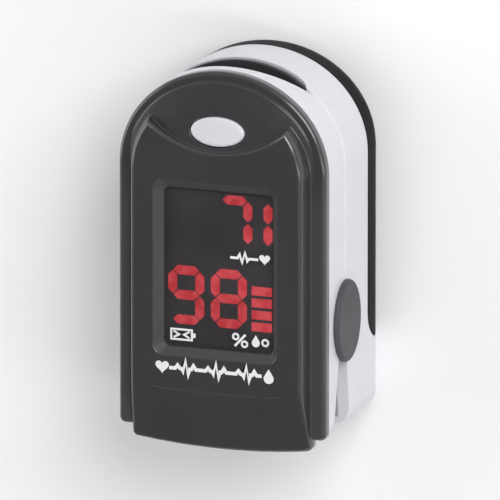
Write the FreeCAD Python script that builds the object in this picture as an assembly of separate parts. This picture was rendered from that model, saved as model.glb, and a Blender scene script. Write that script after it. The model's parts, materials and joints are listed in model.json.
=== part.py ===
import FreeCAD, Part
import math
import os
from FreeCAD import Vector

# Fingertip pulse oximeter: two sprung jaws on one hinge pin, a display and one
# button in the upper jaw, two AAA cells under a sliding door in the lower jaw.
#
# Frame, millimetres: +X is the right side with the display readable, +Y points
# to the finger mouth (the arched end), -Y to the squeeze end, +Z is the display
# normal.  Z = 0 is the flat underside; X = Y = 0 is the middle of the plan box.

os.makedirs("parts", exist_ok=True)

# ---------------------------------------------------------------- driving sizes
# Plan of both jaws: straight sides closed at the mouth by a half ellipse
HALF_W = 17.0
REAR_Y = -27.2           # squeeze end
ARCH_Y = 14.5            # centre of the half ellipse
ARCH_L = 15.5            # its half length along Y
PARTING_Z = 19.5         # plane between the jaws
REACH_X = 20.0           # half width of tools that pass both sides
REACH_Y = 40.0           # front end of tools that pass the mouth

# Lower jaw
BOTTOM_R = 7.0           # rounding at the sides and arch
REAR_R = 5.8             # rounding at the squeeze end
CORNER_R = 3.0           # plan corners at the squeeze end
MITRE_R = 3.0            # where the side and end roundings meet
LOWER_WALL = 1.4

# Hinge, its axis parallel to X
PIVOT_Y = -9.9
PIVOT_Z = PARTING_Z
PIN_R = 1.0
PIN_HALF = 17.45
EAR_R = 3.8              # upper ears, running on the pin
EAR_X0, EAR_X1 = 13.4, 15.1
EAR_ROOM_Y = 4.6         # half length of the lower jaw's cuts beside the ears
LUG_R = 4.2              # lower lugs, holding the pin
LUG_X0 = 15.4
RELIEF_R = 4.5           # clearance round the lugs in the upper side walls
GAPE_SLOPE = 7.2         # degrees, top of the lower jaw behind the hinge
WEDGE_Z = 22.3           # underside of the upper jaw WEDGE_BACK behind the hinge
WEDGE_BACK = 6.4
WEDGE_RISE = 0.2         # and its rise per millimetre

# Upper jaw
UPPER_Z = 19.6           # underside of the side walls
UPPER_WALL = 1.5
FLOOR_Z, FLOOR_TOP = 24.2, 25.0
FLOOR_ROOT = FLOOR_Z + 0.3   # height inside the floor where features join it
COVER_Z = 26.5           # seam between upper shell and top cover
COVER_WALL = 1.2
SHOULDER_Z = 28.2
MOUTH_CHORD = 24.0       # arched notch in the upper shell at the mouth
MOUTH_RISE = 4.6

# Raised panel of the top cover
PANEL_Z = 31.0
PANEL_TOP_INSET = 3.1
PANEL_FOOT_INSET = 2.2
PANEL_FOOT_Z = 27.6      # start of the tapered sides
CREASE_Y = -20.0         # the panel slopes down from here to the squeeze end
PANEL_BACK_Y = -31.0     # where the slope reaches PANEL_END_Z
PANEL_END_Z = 27.93
PANEL_END_CORNER = -28.9
PANEL_END_MID = -30.0
SMILE_R = 17.3           # step between panel and button dome
SMILE_Y = 35.25
DOME_R = 50.6            # crown of the button end
DOME_TOP = 30.5
DOME_Y = 16.0
DOME_BACK_Y = 6.0        # rear end of the dome's blank

# Display and button
WIN_TOP = (-10.3, 10.0, -15.0, 13.0)   # window at panel level: x0, x1, y0, y1
WIN_LENS = (-8.7, 9.0, -13.5, 11.5)    # window at lens level
LENS_W = 19.4
LENS_Y0, LENS_Y1 = -14.4, 12.3
LENS_Z, LENS_TOP = 29.3, 29.8
MODULE_TOP = 29.18
BUTTON_Y = 21.0
BUTTON_HALF_X, BUTTON_HALF_Y = 4.4, 2.3
BUTTON_GAP = 0.2
BOARD_Z, BOARD_TOP = 25.9, 26.7
BOARD_HALF = 11.9
BOARD_SPAN_Y = (-20.0, 24.0)

# Battery bay
DOOR_Z = 9.3             # top edge of the battery door's side wall
DOOR_Y = -16.0           # its rear end
DOOR_CORNER = 5.0
TONGUE_HALF = 11.5
TONGUE_Y = -22.5
GAP = 0.1                # seams between covers
RAIL_Y = (-10.5, 12.0)   # the door's lips and the tray's rails
CELL_R = 5.25
CELL_L = 44.5
CELL_X = 5.5
CELL_Z = 6.95
NUB_L = 1.0
CELL_LEFT_Y, CELL_RIGHT_Y = -21.85, 20.7   # negative ends
CONTACT_REAR_Y, CONTACT_FRONT_Y = -24.2, 23.05   # contact faces toward the cells
CONTACT_T = 0.3
TRAY_Z, TRAY_TOP = 12.5, 13.7
TRAY_INSET = 1.6         # tray and cradle, from the outside of the jaw

# Finger bed
TROUGH_Z = PARTING_Z + 0.1   # axis of the elliptic trough
TROUGH_BEND_Y = 21.0         # the trough flares from here
TROUGH_LIP_Y = 29.9          # to here
PAD_Y = -4.2
CRADLE_TOP = 18.9
OPTIC_Y = 8.0                # middle of both optical windows

# Screws: centres (x, y) and hole radii
REAR_TRAY_SCREW = (0, -20.5)
CRADLE_SCREWS = ((12.4, 15.0), (-12.4, 15.0))
TRAY_SCREWS = (REAR_TRAY_SCREW,) + CRADLE_SCREWS
COVER_SCREWS = ((13.8, 6.0), (-13.8, 6.0), (11.0, -23.0), (-11.0, -23.0))
BOARD_SCREWS = ((-9.0, 17.0), (9.0, 17.0), (0.0, -17.0))
PILOT_R = 0.78
CLEAR_R = 0.85
BOARD_HOLE_R = 0.9

ARC_MID = 1 - math.sqrt(0.5)   # inset of a quarter arc's middle, per unit radius


# ---------------------------------------------------------------- helpers
def line(a, b):
    return Part.makeLine(Vector(*a), Vector(*b))


def arc(a, middle, b):
    return Part.Arc(Vector(*a), Vector(*middle), Vector(*b)).toShape()


def box(x0, x1, y0, y1, z0, z1):
    return Part.makeBox(x1 - x0, y1 - y0, z1 - z0, Vector(x0, y0, z0))


def post(radius, x, y, z, height):
    """Cylinder standing along +Z."""
    return Part.makeCylinder(radius, height, Vector(x, y, z))


def cylinder_y(radius, x, y, z, length, sign=1):
    return Part.makeCylinder(radius, length, Vector(x, y, z), Vector(0, sign, 0))


def hinge_cylinder(radius, x, length):
    """Cylinder on the hinge axis, toward +X."""
    return Part.makeCylinder(radius, length, Vector(x, PIVOT_Y, PIVOT_Z), Vector(1, 0, 0))


def fuse(first, *others):
    for other in others:
        first = first.fuse(other)
    return first.removeSplitter()


def cut(shape, *tools):
    for tool in tools:
        shape = shape.cut(tool)
    return shape


def drill(shape, centres, radius, z, depth):
    return cut(shape, *[post(radius, x, y, z, depth) for x, y in centres])


def mirror_x(shape):
    return shape.mirror(Vector(0, 0, 0), Vector(1, 0, 0))


def pair(shape):
    return shape, mirror_x(shape)


def polygon_prism(points, along):
    return Part.Face(Part.makePolygon(points + [points[0]])).extrude(along)


def side_prism(points_yz, x0=-REACH_X, x1=REACH_X):
    return polygon_prism([Vector(x0, y, z) for y, z in points_yz], Vector(x1 - x0, 0, 0))


def ellipse_wire_xz(z, half_x, half_z, y):
    edge = Part.Ellipse(Vector(0, 0, 0), half_x, half_z).toShape()
    edge.rotate(Vector(0, 0, 0), Vector(1, 0, 0), 90)
    edge.translate(Vector(0, y, z))
    return Part.Wire([edge])


def ellipse_prism_y(z, half_x, half_z, y0, y1):
    return Part.Face(ellipse_wire_xz(z, half_x, half_z, y0)).extrude(Vector(0, y1 - y0, 0))


def rounded_rect(x, y, width, length, radius, z0, z1):
    """Upright block centred on (x, y) with rounded plan corners."""
    block = box(x - width / 2, x + width / 2, y - length / 2, y + length / 2, z0, z1)
    return block.makeFillet(radius, [
        e for e in block.Edges if abs(e.Vertexes[0].Z - e.Vertexes[-1].Z) > 1e-6])


def optic_window(width, length, radius, z0, z1):
    return rounded_rect(0, OPTIC_Y, width, length, radius, z0, z1)


def soften(shape, radius, pick):
    """Round the picked edges with the largest share of radius that works."""
    edges = [e for e in shape.Edges if pick(e)]
    if not edges:
        return shape
    for share in (1.0, 0.75, 0.5, 0.3):
        # makeFillet raises when the radius doesn't fit the geometry
        try:
            rounded = shape.makeFillet(radius * share, edges)
            same_count = len(rounded.Solids) == len(shape.Solids)
            if rounded.isValid() and rounded.Volume > 0 and same_count:
                return rounded
        except Exception:
            pass
    return shape


def every_edge(edge):
    return True


def lies_at_z(edge, z, tolerance):
    return all(abs(v.Z - z) < tolerance for v in edge.Vertexes)


def arch_ratio(edge):
    """Least distance of the edge's ends from the arch centre; 1 is on the arch."""
    return min(math.hypot(v.X / HALF_W, (v.Y - ARCH_Y) / ARCH_L) for v in edge.Vertexes)


def arc_radius(half_chord, rise):
    return (half_chord ** 2 + rise ** 2) / (2 * rise)


def gape_z(y):
    """Top of the lower jaw behind the hinge."""
    return PIVOT_Z - math.tan(math.radians(GAPE_SLOPE)) * (PIVOT_Y - y)


def wedge_z(y):
    """Underside of the upper jaw behind the hinge."""
    return WEDGE_Z + WEDGE_RISE * ((PIVOT_Y - y) - WEDGE_BACK)


def jaw_plan(inset, z0, z1, corner_r=0.0, rear_y=REAR_Y):
    """Prism on the jaw's plan, moved in by inset."""
    a, b, rear = HALF_W - inset, ARCH_L - inset, rear_y + inset
    side_end, mid = rear + corner_r, corner_r * ARC_MID
    ellipse = Part.Ellipse(Vector(0, ARCH_Y, z0), a, b)
    edges = [Part.ArcOfEllipse(ellipse, 0, math.pi).toShape()]
    edges.append(line((-a, ARCH_Y, z0), (-a, side_end, z0)))
    if corner_r > 0:
        edges.append(arc((-a, side_end, z0), (-a + mid, rear + mid, z0),
                         (-a + corner_r, rear, z0)))
    edges.append(line((-a + corner_r, rear, z0), (a - corner_r, rear, z0)))
    if corner_r > 0:
        edges.append(arc((a - corner_r, rear, z0), (a - mid, rear + mid, z0),
                         (a, side_end, z0)))
    edges.append(line((a, side_end, z0), (a, ARCH_Y, z0)))
    return Part.Face(Part.Wire(edges)).extrude(Vector(0, 0, z1 - z0))


def rounded_profile(rear, z_round, z_square, radius):
    """Prism along X, open to the mouth, with one rounded rear corner at z_round."""
    turn = math.copysign(radius, z_square - z_round)
    x = -REACH_X
    outline = Part.Wire([
        line((x, rear, z_square), (x, rear, z_round + turn)),
        arc((x, rear, z_round + turn),
            (x, rear + radius * ARC_MID, z_round + turn * ARC_MID),
            (x, rear + radius, z_round)),
        line((x, rear + radius, z_round), (x, REACH_Y, z_round)),
        line((x, REACH_Y, z_round), (x, REACH_Y, z_square)),
        line((x, REACH_Y, z_square), (x, rear, z_square)),
    ])
    return Part.Face(outline).extrude(Vector(2 * REACH_X, 0, 0))


def export(name, shape):
    solids = shape.Solids
    shape = solids[0] if len(solids) == 1 else Part.makeCompound(solids)
    shape.exportStep("parts/" + name + ".step")


# ---------------------------------------------------------------- lower jaw body
def lower_envelope(inset, z_top):
    rear = REAR_Y + inset
    rear_r = REAR_R - inset
    body = jaw_plan(inset, inset, z_top)
    body = body.makeFillet(BOTTOM_R - inset, [
        e for e in body.Edges
        if lies_at_z(e, inset, 1e-6)
        and not all(abs(v.Y - rear) < 1e-6 for v in e.Vertexes)])
    body = body.common(rounded_profile(rear, inset, z_top, rear_r))
    body = body.common(jaw_plan(inset, inset, z_top, CORNER_R - inset))

    def is_mitre(edge):
        b = edge.BoundBox
        return (b.YMax < rear + rear_r + 0.5 and b.ZMax < inset + BOTTOM_R + 1.0
                and b.XLength > 0.5 and b.YLength > 0.5 and b.ZLength > 0.5)

    return soften(body, MITRE_R - inset, is_mitre)


def door_profile(grow):
    """The side profile taken by the battery door."""
    return rounded_profile(DOOR_Y - grow, DOOR_Z + grow, -1, DOOR_CORNER + grow)


LOWER_BODY = lower_envelope(0.0, PARTING_Z)
LOWER_HOLLOW = LOWER_BODY.cut(lower_envelope(LOWER_WALL, 30.0))


def battery_door():
    door = LOWER_HOLLOW.common(door_profile(0.0))
    tongue = LOWER_BODY.common(
        box(-TONGUE_HALF, TONGUE_HALF, TONGUE_Y, DOOR_Y + 1.0, -1, LOWER_WALL))
    root_half = TONGUE_HALF - 1.0
    root = box(-root_half, root_half, DOOR_Y - 0.5, DOOR_Y + 3, 1.0, LOWER_WALL)
    lip = box(14.0, 15.7, *RAIL_Y, 8.4, 9.2).common(jaw_plan(0.7, 8.0, 9.5))
    door = fuse(door, fuse(tongue, root), *pair(lip))
    # shallow cross grooves in the underside, longest in the middle
    count, first_y, pitch, depth = 6, -19.6, 1.7, 0.45
    for n in range(count):
        length = 12.0 - abs(n - (count - 1) / 2) * 1.1
        door = door.cut(rounded_rect(0, first_y + pitch * n, length, 0.9, 0.4, -1, depth))

    def is_outer_top(edge):
        return (lies_at_z(edge, DOOR_Z, 1e-3) and edge.Length > 20
                and abs(edge.BoundBox.Center.x) < 0.1 and edge.BoundBox.XMax > 16.5)

    return soften(door, 0.35, is_outer_top)


def trough(half_x, depth, lip_half_x, lip_depth, y0):
    """Elliptic trough along Y that flares to a shallow lip at the mouth."""
    body = ellipse_prism_y(TROUGH_Z, half_x, depth, y0, TROUGH_BEND_Y)
    ramp = Part.makeLoft([
        ellipse_wire_xz(TROUGH_Z, half_x, depth, TROUGH_BEND_Y),
        ellipse_wire_xz(TROUGH_Z, lip_half_x, lip_depth, TROUGH_LIP_Y)], True, True)
    lip = ellipse_prism_y(TROUGH_Z, lip_half_x, lip_depth, TROUGH_LIP_Y, TROUGH_LIP_Y + 1.0)
    return fuse(body, ramp, lip)


def pad_seat():
    return trough(9.6, 5.0, 11.2, 1.75, PAD_Y)


def squeeze_plate():
    """Plate under the gape line, narrowed beside the ears."""
    half_w, thickness = 15.7, 1.2
    rear, front = REAR_Y + LOWER_WALL - 0.1, PIVOT_Y - 4.2
    plate = side_prism([(front, gape_z(front)), (rear, gape_z(rear)),
                        (rear, gape_z(rear) - thickness),
                        (front, gape_z(front) - thickness)], -half_w, half_w)
    plate = cut(plate, *pair(box(13.2, 16, PIVOT_Y - EAR_ROOM_Y, 0, 10, 30)))
    return plate.common(jaw_plan(LOWER_WALL - 0.1, 0, 40, CORNER_R - LOWER_WALL))


def lower_shell():
    shell = LOWER_HOLLOW.cut(door_profile(GAP))
    slot_half = TONGUE_HALF + GAP
    shell = shell.cut(box(-slot_half, slot_half, TONGUE_Y - GAP, 0, -1, LOWER_WALL + 0.2))
    # top edge behind the hinge, along the gape line
    front, rear = PIVOT_Y - 3.0, REAR_Y - 1
    shell = shell.cut(side_prism([
        (front, gape_z(front)), (rear, gape_z(rear)), (rear, 30), (front, 30)]))
    lug = hinge_cylinder(LUG_R, LUG_X0, HALF_W - LUG_X0).fuse(
        box(LUG_X0, HALF_W, PIVOT_Y - LUG_R, PIVOT_Y + LUG_R, 14.6, PIVOT_Z))
    # skirt that closes the gape from inside
    front, rear = PIVOT_Y - 6.2, PIVOT_Y - 15.5
    skirt = side_prism([(front, gape_z(front) - 0.6), (rear, gape_z(rear) - 0.6),
                        (rear, 21.5), (front, 24.8)], 13.2, 14.6)
    # boss for the rear tray screw
    boss_x, boss_y = REAR_TRAY_SCREW
    boss = post(1.9, boss_x, boss_y, TRAY_TOP, gape_z(boss_y) - TRAY_TOP - 0.3)
    # ribs that carry the tray's top face
    rib = box(14.4, 15.7, -23.5, -17.0, TRAY_TOP, gape_z(-20.0) - 0.9)
    shell = fuse(shell, *pair(lug), squeeze_plate(), *pair(skirt), boss, *pair(rib))
    shell = shell.cut(hinge_cylinder(PIN_R + 0.02, -REACH_X, 2 * REACH_X))
    shell = drill(shell, [REAR_TRAY_SCREW], PILOT_R, TRAY_TOP - 1, 3.6)
    # dished lower lip of the mouth
    dish_half, dish_depth = 13.0, 1.0
    dish_r = arc_radius(dish_half, dish_depth)
    shell = shell.cut(cylinder_y(dish_r, 0, 20.0, PARTING_Z - dish_depth + dish_r, 12.0))

    def is_outer_lip(edge):
        return (edge.BoundBox.YMin > 14.4 and edge.BoundBox.ZMin > 18.3
                and edge.Length > 2.0 and arch_ratio(edge) > 0.99)

    shell = soften(shell, 0.5, is_outer_lip)
    # seat of the pad's lip, across the front wall
    return shell.cut(pad_seat())


# ---------------------------------------------------------------- battery bay
def battery_tray():
    tray = jaw_plan(TRAY_INSET, TRAY_Z, TRAY_TOP, 1.5)
    ear_room = box(13.0, REACH_X, PIVOT_Y - EAR_ROOM_Y, PIVOT_Y + EAR_ROOM_Y, 12.9, 14)
    tray = cut(tray, *pair(ear_room))
    wall_top, side_z = TRAY_Z + 0.2, 7.3
    side = box(12.8, 13.8, -14.6, RAIL_Y[1], side_z, wall_top)
    rail = box(12.8, 15.3, *RAIL_Y, side_z, 8.25).common(jaw_plan(1.7, 7, 9))
    rear_wall = box(-10.6, 10.6, -25.2, -24.5, 4.4, wall_top)
    front_wall = box(-10.4, 10.4, 23.35, 24.1, 5.2, wall_top)
    tray = fuse(tray, *pair(side), *pair(rail), rear_wall, front_wall)
    tray = drill(tray, TRAY_SCREWS, CLEAR_R, 12, 3)
    # slot for the flex cable
    return tray.cut(box(-3.2, 3.2, -8.6, -6.2, 12, 14))


def battery_cell(x, negative_y, sign):
    """AAA cell on a line parallel to Y; sign +1 has its nub toward +Y."""
    body = cylinder_y(CELL_R, x, negative_y, CELL_Z, CELL_L - NUB_L, sign)
    body = soften(body, 0.5, every_edge)
    sunk_l = NUB_L + 0.1
    nub = cylinder_y(1.9, x, negative_y + sign * (CELL_L - sunk_l), CELL_Z, sunk_l, sign)
    return fuse(body, nub)


def wire_helix(pitch, height, radius, wire):
    """Coiled round wire along +Z from the origin."""
    helix = Part.makeHelix(pitch, height, radius)
    section = Part.makeCircle(wire / 2, Vector(radius, 0, 0), Vector(0, 1, 0))
    return Part.Wire(helix.Edges).makePipeShell([Part.Wire([section])], True, True)


def contact_coil(x, y0, y1):
    """Compression spring along Y between y0 and y1."""
    wire, radius, turns = 0.5, 2.7, 3
    height = y1 - y0 - wire
    spring = wire_helix(height / turns, height, radius, wire)
    spring.rotate(Vector(0, 0, 0), Vector(1, 0, 0), -90)
    spring.translate(Vector(x, y0 + wire / 2, CELL_Z))
    return spring


def contact_plate(x, front_y, z, width, height):
    plate = rounded_rect(0, 0, width, height, 0.8, 0, CONTACT_T)
    plate.rotate(Vector(0, 0, 0), Vector(1, 0, 0), 90)
    plate.translate(Vector(x, front_y, z))
    return plate


def contact_dimple(x, y, sign):
    """Raised cone that meets a cell's nub; sign is its direction along Y."""
    return Part.makeCone(2.0, 1.4, 0.4, Vector(x, y, CELL_Z), Vector(0, sign, 0))


def battery_link_contact():
    plate = contact_plate(0, CONTACT_REAR_Y, 7.3, 18.6, 5.2)
    return Part.makeCompound([
        fuse(plate, contact_dimple(CELL_X, CONTACT_REAR_Y, 1)),
        contact_coil(-CELL_X, CONTACT_REAR_Y, CELL_LEFT_Y)])


def battery_end_contacts():
    left, right = [contact_plate(side * 5.3, CONTACT_FRONT_Y + CONTACT_T, 7.4, 8.2, 6.4)
                   for side in (-1, 1)]
    return Part.makeCompound([
        fuse(left, contact_dimple(-CELL_X, CONTACT_FRONT_Y, -1)),
        right,
        contact_coil(CELL_X, CELL_RIGHT_Y, CONTACT_FRONT_Y)])


# ---------------------------------------------------------------- screws
def screw(x, y, seat_z, up, length):
    """Pan-head cross-slot screw; up is +1 when the shank points to +Z from the seat."""
    radius, head_r, head_h = 0.75, 1.3, 0.9
    slot_l, slot_w, slot_depth = 1.5, 0.32, 0.5
    shank_dir = Vector(0, 0, up)
    head = Part.makeCylinder(head_r, head_h, Vector(x, y, seat_z), -shank_dir)
    head = soften(head, 0.35,
                  lambda e: abs(e.BoundBox.Center.z - (seat_z - up * head_h)) < 1e-3)
    shank = Part.makeCylinder(radius, length + 0.1, Vector(x, y, seat_z - up * 0.1), shank_dir)
    slot_z = seat_z - up * (head_h + 0.1)
    slot_z = min(slot_z, slot_z + up * slot_depth)
    slots = [Part.makeBox(dx, dy, slot_depth, Vector(x - dx / 2, y - dy / 2, slot_z))
             for dx, dy in ((slot_l, slot_w), (slot_w, slot_l))]
    return fuse(head, shank).cut(slots[0].fuse(slots[1]))


def screws(centres, seat_z, up, length):
    return Part.makeCompound([screw(x, y, seat_z, up, length) for x, y in centres])


# ---------------------------------------------------------------- lower finger bed
def lower_cradle():
    cradle_plan = jaw_plan(TRAY_INSET, 13, 20)
    rear, block_half = -5.0, 10.6
    rim = jaw_plan(TRAY_INSET, CRADLE_TOP - 1.2, CRADLE_TOP).common(
        box(-REACH_X, REACH_X, rear, REACH_Y, 10, 30))
    block = box(-block_half, block_half, rear, 30, TRAY_TOP, CRADLE_TOP).common(cradle_plan)
    legs = [box(x - 0.6, x + 0.6, y, y + 5, TRAY_TOP, CRADLE_TOP - 0.5)
            for x in (-13.6, 13.6) for y in (-2.0, 8.0)]
    cradle = fuse(rim, block, *legs).cut(pad_seat())
    # pockets in the underside: one at the mouth, one on each side of the channel
    cradle = cradle.cut(box(-8.6, 8.6, 20.8, 26.5, 10, 14.2))
    cradle = cut(cradle, *pair(box(-9.4, -2.6, -3.6, 17.0, 10, 14.25)))
    # channel for the flex and the sensor board
    cradle = cradle.cut(box(-2.8, 2.8, -6.0, 11.2, 10, 14.9))
    for x, y in CRADLE_SCREWS:
        cradle = fuse(cradle, post(1.75, x, y, TRAY_TOP, CRADLE_TOP - 1.0 - TRAY_TOP))
        cradle = drill(cradle, [(x, y)], PILOT_R, 13, 3.6)
    return cradle


def lower_finger_pad():
    rear = PAD_Y + 0.05
    pad = trough(9.55, 4.95, 11.12, 1.7, rear).cut(trough(8.7, 4.1, 10.5, 0.98, PAD_Y - 1))
    pad = pad.common(box(-12, 12, rear, REACH_Y, 10, CRADLE_TOP))
    pad = pad.common(jaw_plan(0.35, 10, 20))
    return pad.cut(optic_window(5.6, 4.6, 1.0, 13, 17))


# ---------------------------------------------------------------- hinge
def hinge_pin():
    return soften(hinge_cylinder(PIN_R, -PIN_HALF, 2 * PIN_HALF), 0.2, every_edge)


def pivot_cover():
    """Right-hand oval cover over the pin's end, long axis along Y."""
    oval = Part.Ellipse(Vector(0, 0, 0), 6.5, 5.2).toShape()
    oval.rotate(Vector(0, 0, 0), Vector(0, 0, 1), 90)
    oval.rotate(Vector(0, 0, 0), Vector(0, 1, 0), 90)     # into the YZ plane
    oval.translate(Vector(HALF_W + 0.05, PIVOT_Y, PIVOT_Z))
    cover = Part.Face(Part.Wire([oval])).extrude(Vector(0.85, 0, 0))
    cover = soften(cover, 0.6, lambda e: e.BoundBox.XMin > HALF_W + 0.85)
    cover = fuse(cover, hinge_cylinder(3.9, HALF_W, 0.2))
    return cover.cut(hinge_cylinder(PIN_R + 0.02, HALF_W - 0.1, 0.6))


def torsion_spring():
    """Right-hand spring: coil on the pin, legs on the squeeze plate and under the floor."""
    radius, wire, turns, pitch, x0 = 1.9, 0.6, 5, 0.72, 5.6
    leg_y, leg_gap = -11.0, 0.03
    length = turns * pitch
    coil = wire_helix(pitch, length, radius, wire)
    coil.rotate(Vector(0, 0, 0), Vector(0, 1, 0), 90)     # axis along X
    coil.translate(Vector(x0, PIVOT_Y, PIVOT_Z))

    def leg(x, leg_z, side):
        """Straight wire, tangent to the coil, to (leg_y, leg_z) from the pivot."""
        angle = math.atan2(leg_z, leg_y) + side * math.acos(radius / math.hypot(leg_y, leg_z))
        start = Vector(x, PIVOT_Y + radius * math.cos(angle),
                       PIVOT_Z + radius * math.sin(angle))
        along = Vector(x, PIVOT_Y + leg_y, PIVOT_Z + leg_z).sub(start)
        rod = Part.makeCylinder(wire / 2, along.Length, start, along)
        return rod.fuse(Part.makeSphere(wire / 2, start))

    low_z = gape_z(PIVOT_Y + leg_y) - PIVOT_Z + wire / 2 + leg_gap
    high_z = FLOOR_Z - PIVOT_Z - wire / 2 - leg_gap
    low_leg, high_leg = leg(x0, low_z, -1), leg(x0 + length, high_z, 1)
    # guards the union of the swept coil with its legs; loose solids are the fallback
    try:
        return coil.fuse(low_leg).fuse(high_leg)
    except Exception:
        return Part.makeCompound([coil, low_leg, high_leg])


def flex_cable():
    half_w, thickness = 2.5, 0.15
    # centre line (y, z), from the sensor board up to the main board
    path = [(3.6, 14.19), (-4.4, 14.19), (-6.6, 14.9), (-7.6, 16.6),
            (-7.5, 19.5), (-6.9, 22.0), (-7.1, 24.6), (-7.2, 25.75)]
    one_side, other_side = [], []
    for i, (y, z) in enumerate(path):
        before, after = path[max(i - 1, 0)], path[min(i + 1, len(path) - 1)]
        dy, dz = after[0] - before[0], after[1] - before[1]
        length = math.hypot(dy, dz)
        off_y, off_z = -dz / length * thickness / 2, dy / length * thickness / 2
        one_side.append((y + off_y, z + off_z))
        other_side.append((y - off_y, z - off_z))
    return side_prism(one_side + other_side[::-1], -half_w, half_w)


# ---------------------------------------------------------------- upper shell and pad
def upper_shell():
    shell = jaw_plan(0.0, UPPER_Z, COVER_Z, 2.5)
    shell = shell.cut(jaw_plan(UPPER_WALL, UPPER_Z - 1, FLOOR_Z, 1.0))
    shell = shell.cut(jaw_plan(UPPER_WALL, FLOOR_TOP, COVER_Z + 1, 1.0))
    front, rear = PIVOT_Y - 2.0, REAR_Y - 1
    shell = shell.cut(side_prism([
        (front, wedge_z(front)), (rear, wedge_z(rear)), (rear, 10), (front, 10)]))
    # slots beside the narrow rear floor, where the lower jaw's skirts pass
    slot = box(13.0, HALF_W - UPPER_WALL, REAR_Y + UPPER_WALL + 0.05, PIVOT_Y - 4.3,
               20, FLOOR_TOP + 0.5)
    relief = hinge_cylinder(RELIEF_R, LUG_X0 - 0.2, 3)
    shell = cut(shell, *pair(slot), *pair(relief))
    ear = hinge_cylinder(EAR_R, EAR_X0, EAR_X1 - EAR_X0).fuse(
        box(EAR_X0, EAR_X1, PIVOT_Y - EAR_R, PIVOT_Y + EAR_R, PIVOT_Z, FLOOR_ROOT))
    # ribs beside the pad and the finger stop behind it
    rib_x0, rib_x1, rib_z = 11.35, 12.35, 20.1
    rib = box(rib_x0, rib_x1, -3.6, 30, rib_z, FLOOR_ROOT)
    rib = rib.common(jaw_plan(UPPER_WALL - 0.1, 19, 27))
    stop = box(-rib_x1, rib_x1, -4.7, -3.7, rib_z, FLOOR_ROOT)
    standoffs = [post(1.5, x, y, FLOOR_ROOT, BOARD_Z - FLOOR_ROOT) for x, y in BOARD_SCREWS]
    shell = fuse(shell, *pair(ear), *pair(rib), stop, *standoffs)
    shell = shell.cut(hinge_cylinder(PIN_R + 0.05, -16, 32))
    # arched mouth notch, kept below the floor
    mouth_r = arc_radius(MOUTH_CHORD / 2, MOUTH_RISE)
    shell = shell.cut(cylinder_y(mouth_r, 0, 20.0, PARTING_Z + MOUTH_RISE - mouth_r, 14).common(
        box(-REACH_X, REACH_X, 10, REACH_Y, UPPER_Z - 1, FLOOR_Z - 0.02)))
    # openings in the floor for the emitter and the flex cable
    shell = shell.cut(optic_window(5.2, 4.2, 0.6, 24, 26))
    shell = shell.cut(box(-3.0, 3.0, -8.0, -6.2, 24, 26))
    shell = drill(shell, COVER_SCREWS, CLEAR_R, 23, 3)
    shell = drill(shell, BOARD_SCREWS, PILOT_R, 24.35, 3)

    def is_outer_low(edge):
        """Outside edges round the mouth notch and the underside."""
        return (arch_ratio(edge) > 0.995 and edge.BoundBox.YMin > 14.4
                and edge.BoundBox.ZMax < 24.3 and edge.Length > 1.5)

    return soften(shell, 0.35, is_outer_low)


def upper_finger_pad():
    axis_z, rear = 19.9, -3.6
    pad = ellipse_prism_y(axis_z, 11.25, 4.3, rear, 29.0).cut(
        ellipse_prism_y(axis_z, 10.35, 3.5, -5, 32))
    pad = pad.common(box(-12, 12, rear, REACH_Y, 20.1, FLOOR_Z))
    pad = pad.common(jaw_plan(UPPER_WALL + 0.1, 15, 27))
    return pad.cut(optic_window(4.6, 3.6, 0.8, 20, 26))


# ---------------------------------------------------------------- board and display
def main_board():
    board = box(-BOARD_HALF, BOARD_HALF, *BOARD_SPAN_Y, BOARD_Z, BOARD_TOP)
    board = board.common(jaw_plan(2.4, 20, 30))
    return drill(board, BOARD_SCREWS, BOARD_HOLE_R, 25, 3)


def board_chips():
    # x0, x1, y0, y1, underside z; all reach up to the board
    chips = [
        (-9.2, -3.2, -12.5, -6.5, 25.05),
        (4.0, 8.0, -2.0, 3.0, 25.2),
        (-8.0, -4.4, 10.0, 12.4, 25.3),
        (5.0, 6.6, 9.0, 9.9, 25.4),
        (5.0, 6.6, 11.0, 11.9, 25.4),
        (4.0, 8.6, -12.2, -9.8, 25.1),
    ]
    return Part.makeCompound([box(*chip, BOARD_Z) for chip in chips])


def display_module():
    module = box(-9.5, 9.5, -14.1, 12.1, BOARD_TOP, MODULE_TOP)
    return soften(module, 0.4, lambda e: abs(e.Vertexes[0].Z - e.Vertexes[-1].Z) > 1)


SEGMENT_T = 0.08


def digit(x0, x1, y0, y1, lit):
    """Lit bars of a seven-segment digit: a top, then clockwise to f, g in the middle."""
    half, gap = 1.45 / 2, 0.12
    left, right = x0 + half, x1 - half
    bottom, middle, top = y0 + half, (y0 + y1) / 2, y1 - half

    def bar(start, end, across, upright):
        start, end = start + gap, end - gap
        points = [(start, across), (start + half, across + half), (end - half, across + half),
                  (end, across), (end - half, across - half), (start + half, across - half)]
        if upright:
            points = [(y, x) for x, y in points]
        return polygon_prism([Vector(x, y, MODULE_TOP) for x, y in points],
                             Vector(0, 0, SEGMENT_T))

    # start, end, position across the bar, upright
    bars = {
        "a": (left, right, top, False), "g": (left, right, middle, False),
        "d": (left, right, bottom, False),
        "f": (middle, top, left, True), "b": (middle, top, right, True),
        "e": (bottom, middle, left, True), "c": (bottom, middle, right, True),
    }
    return [bar(*bars[name]) for name in lit]


def digit_segments():
    upper_row, lower_row = (2.6, 10.9), (-10.2, -0.9)
    segments = digit(-0.3, 5.4, *upper_row, "abc")
    segments += digit(3.2, 8.7, *upper_row, "bc")
    segments += digit(-8.4, -2.5, *lower_row, "abcdfg")
    segments += digit(-1.4, 4.5, *lower_row, "abcdefg")
    # column of four blocks to the right of the lower row
    for n in range(4):
        y = -10.3 + 1.9 * n
        segments.append(box(5.3, 8.6, y, y + 1.4, MODULE_TOP, MODULE_TOP + SEGMENT_T))
    return Part.makeCompound(segments)


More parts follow.
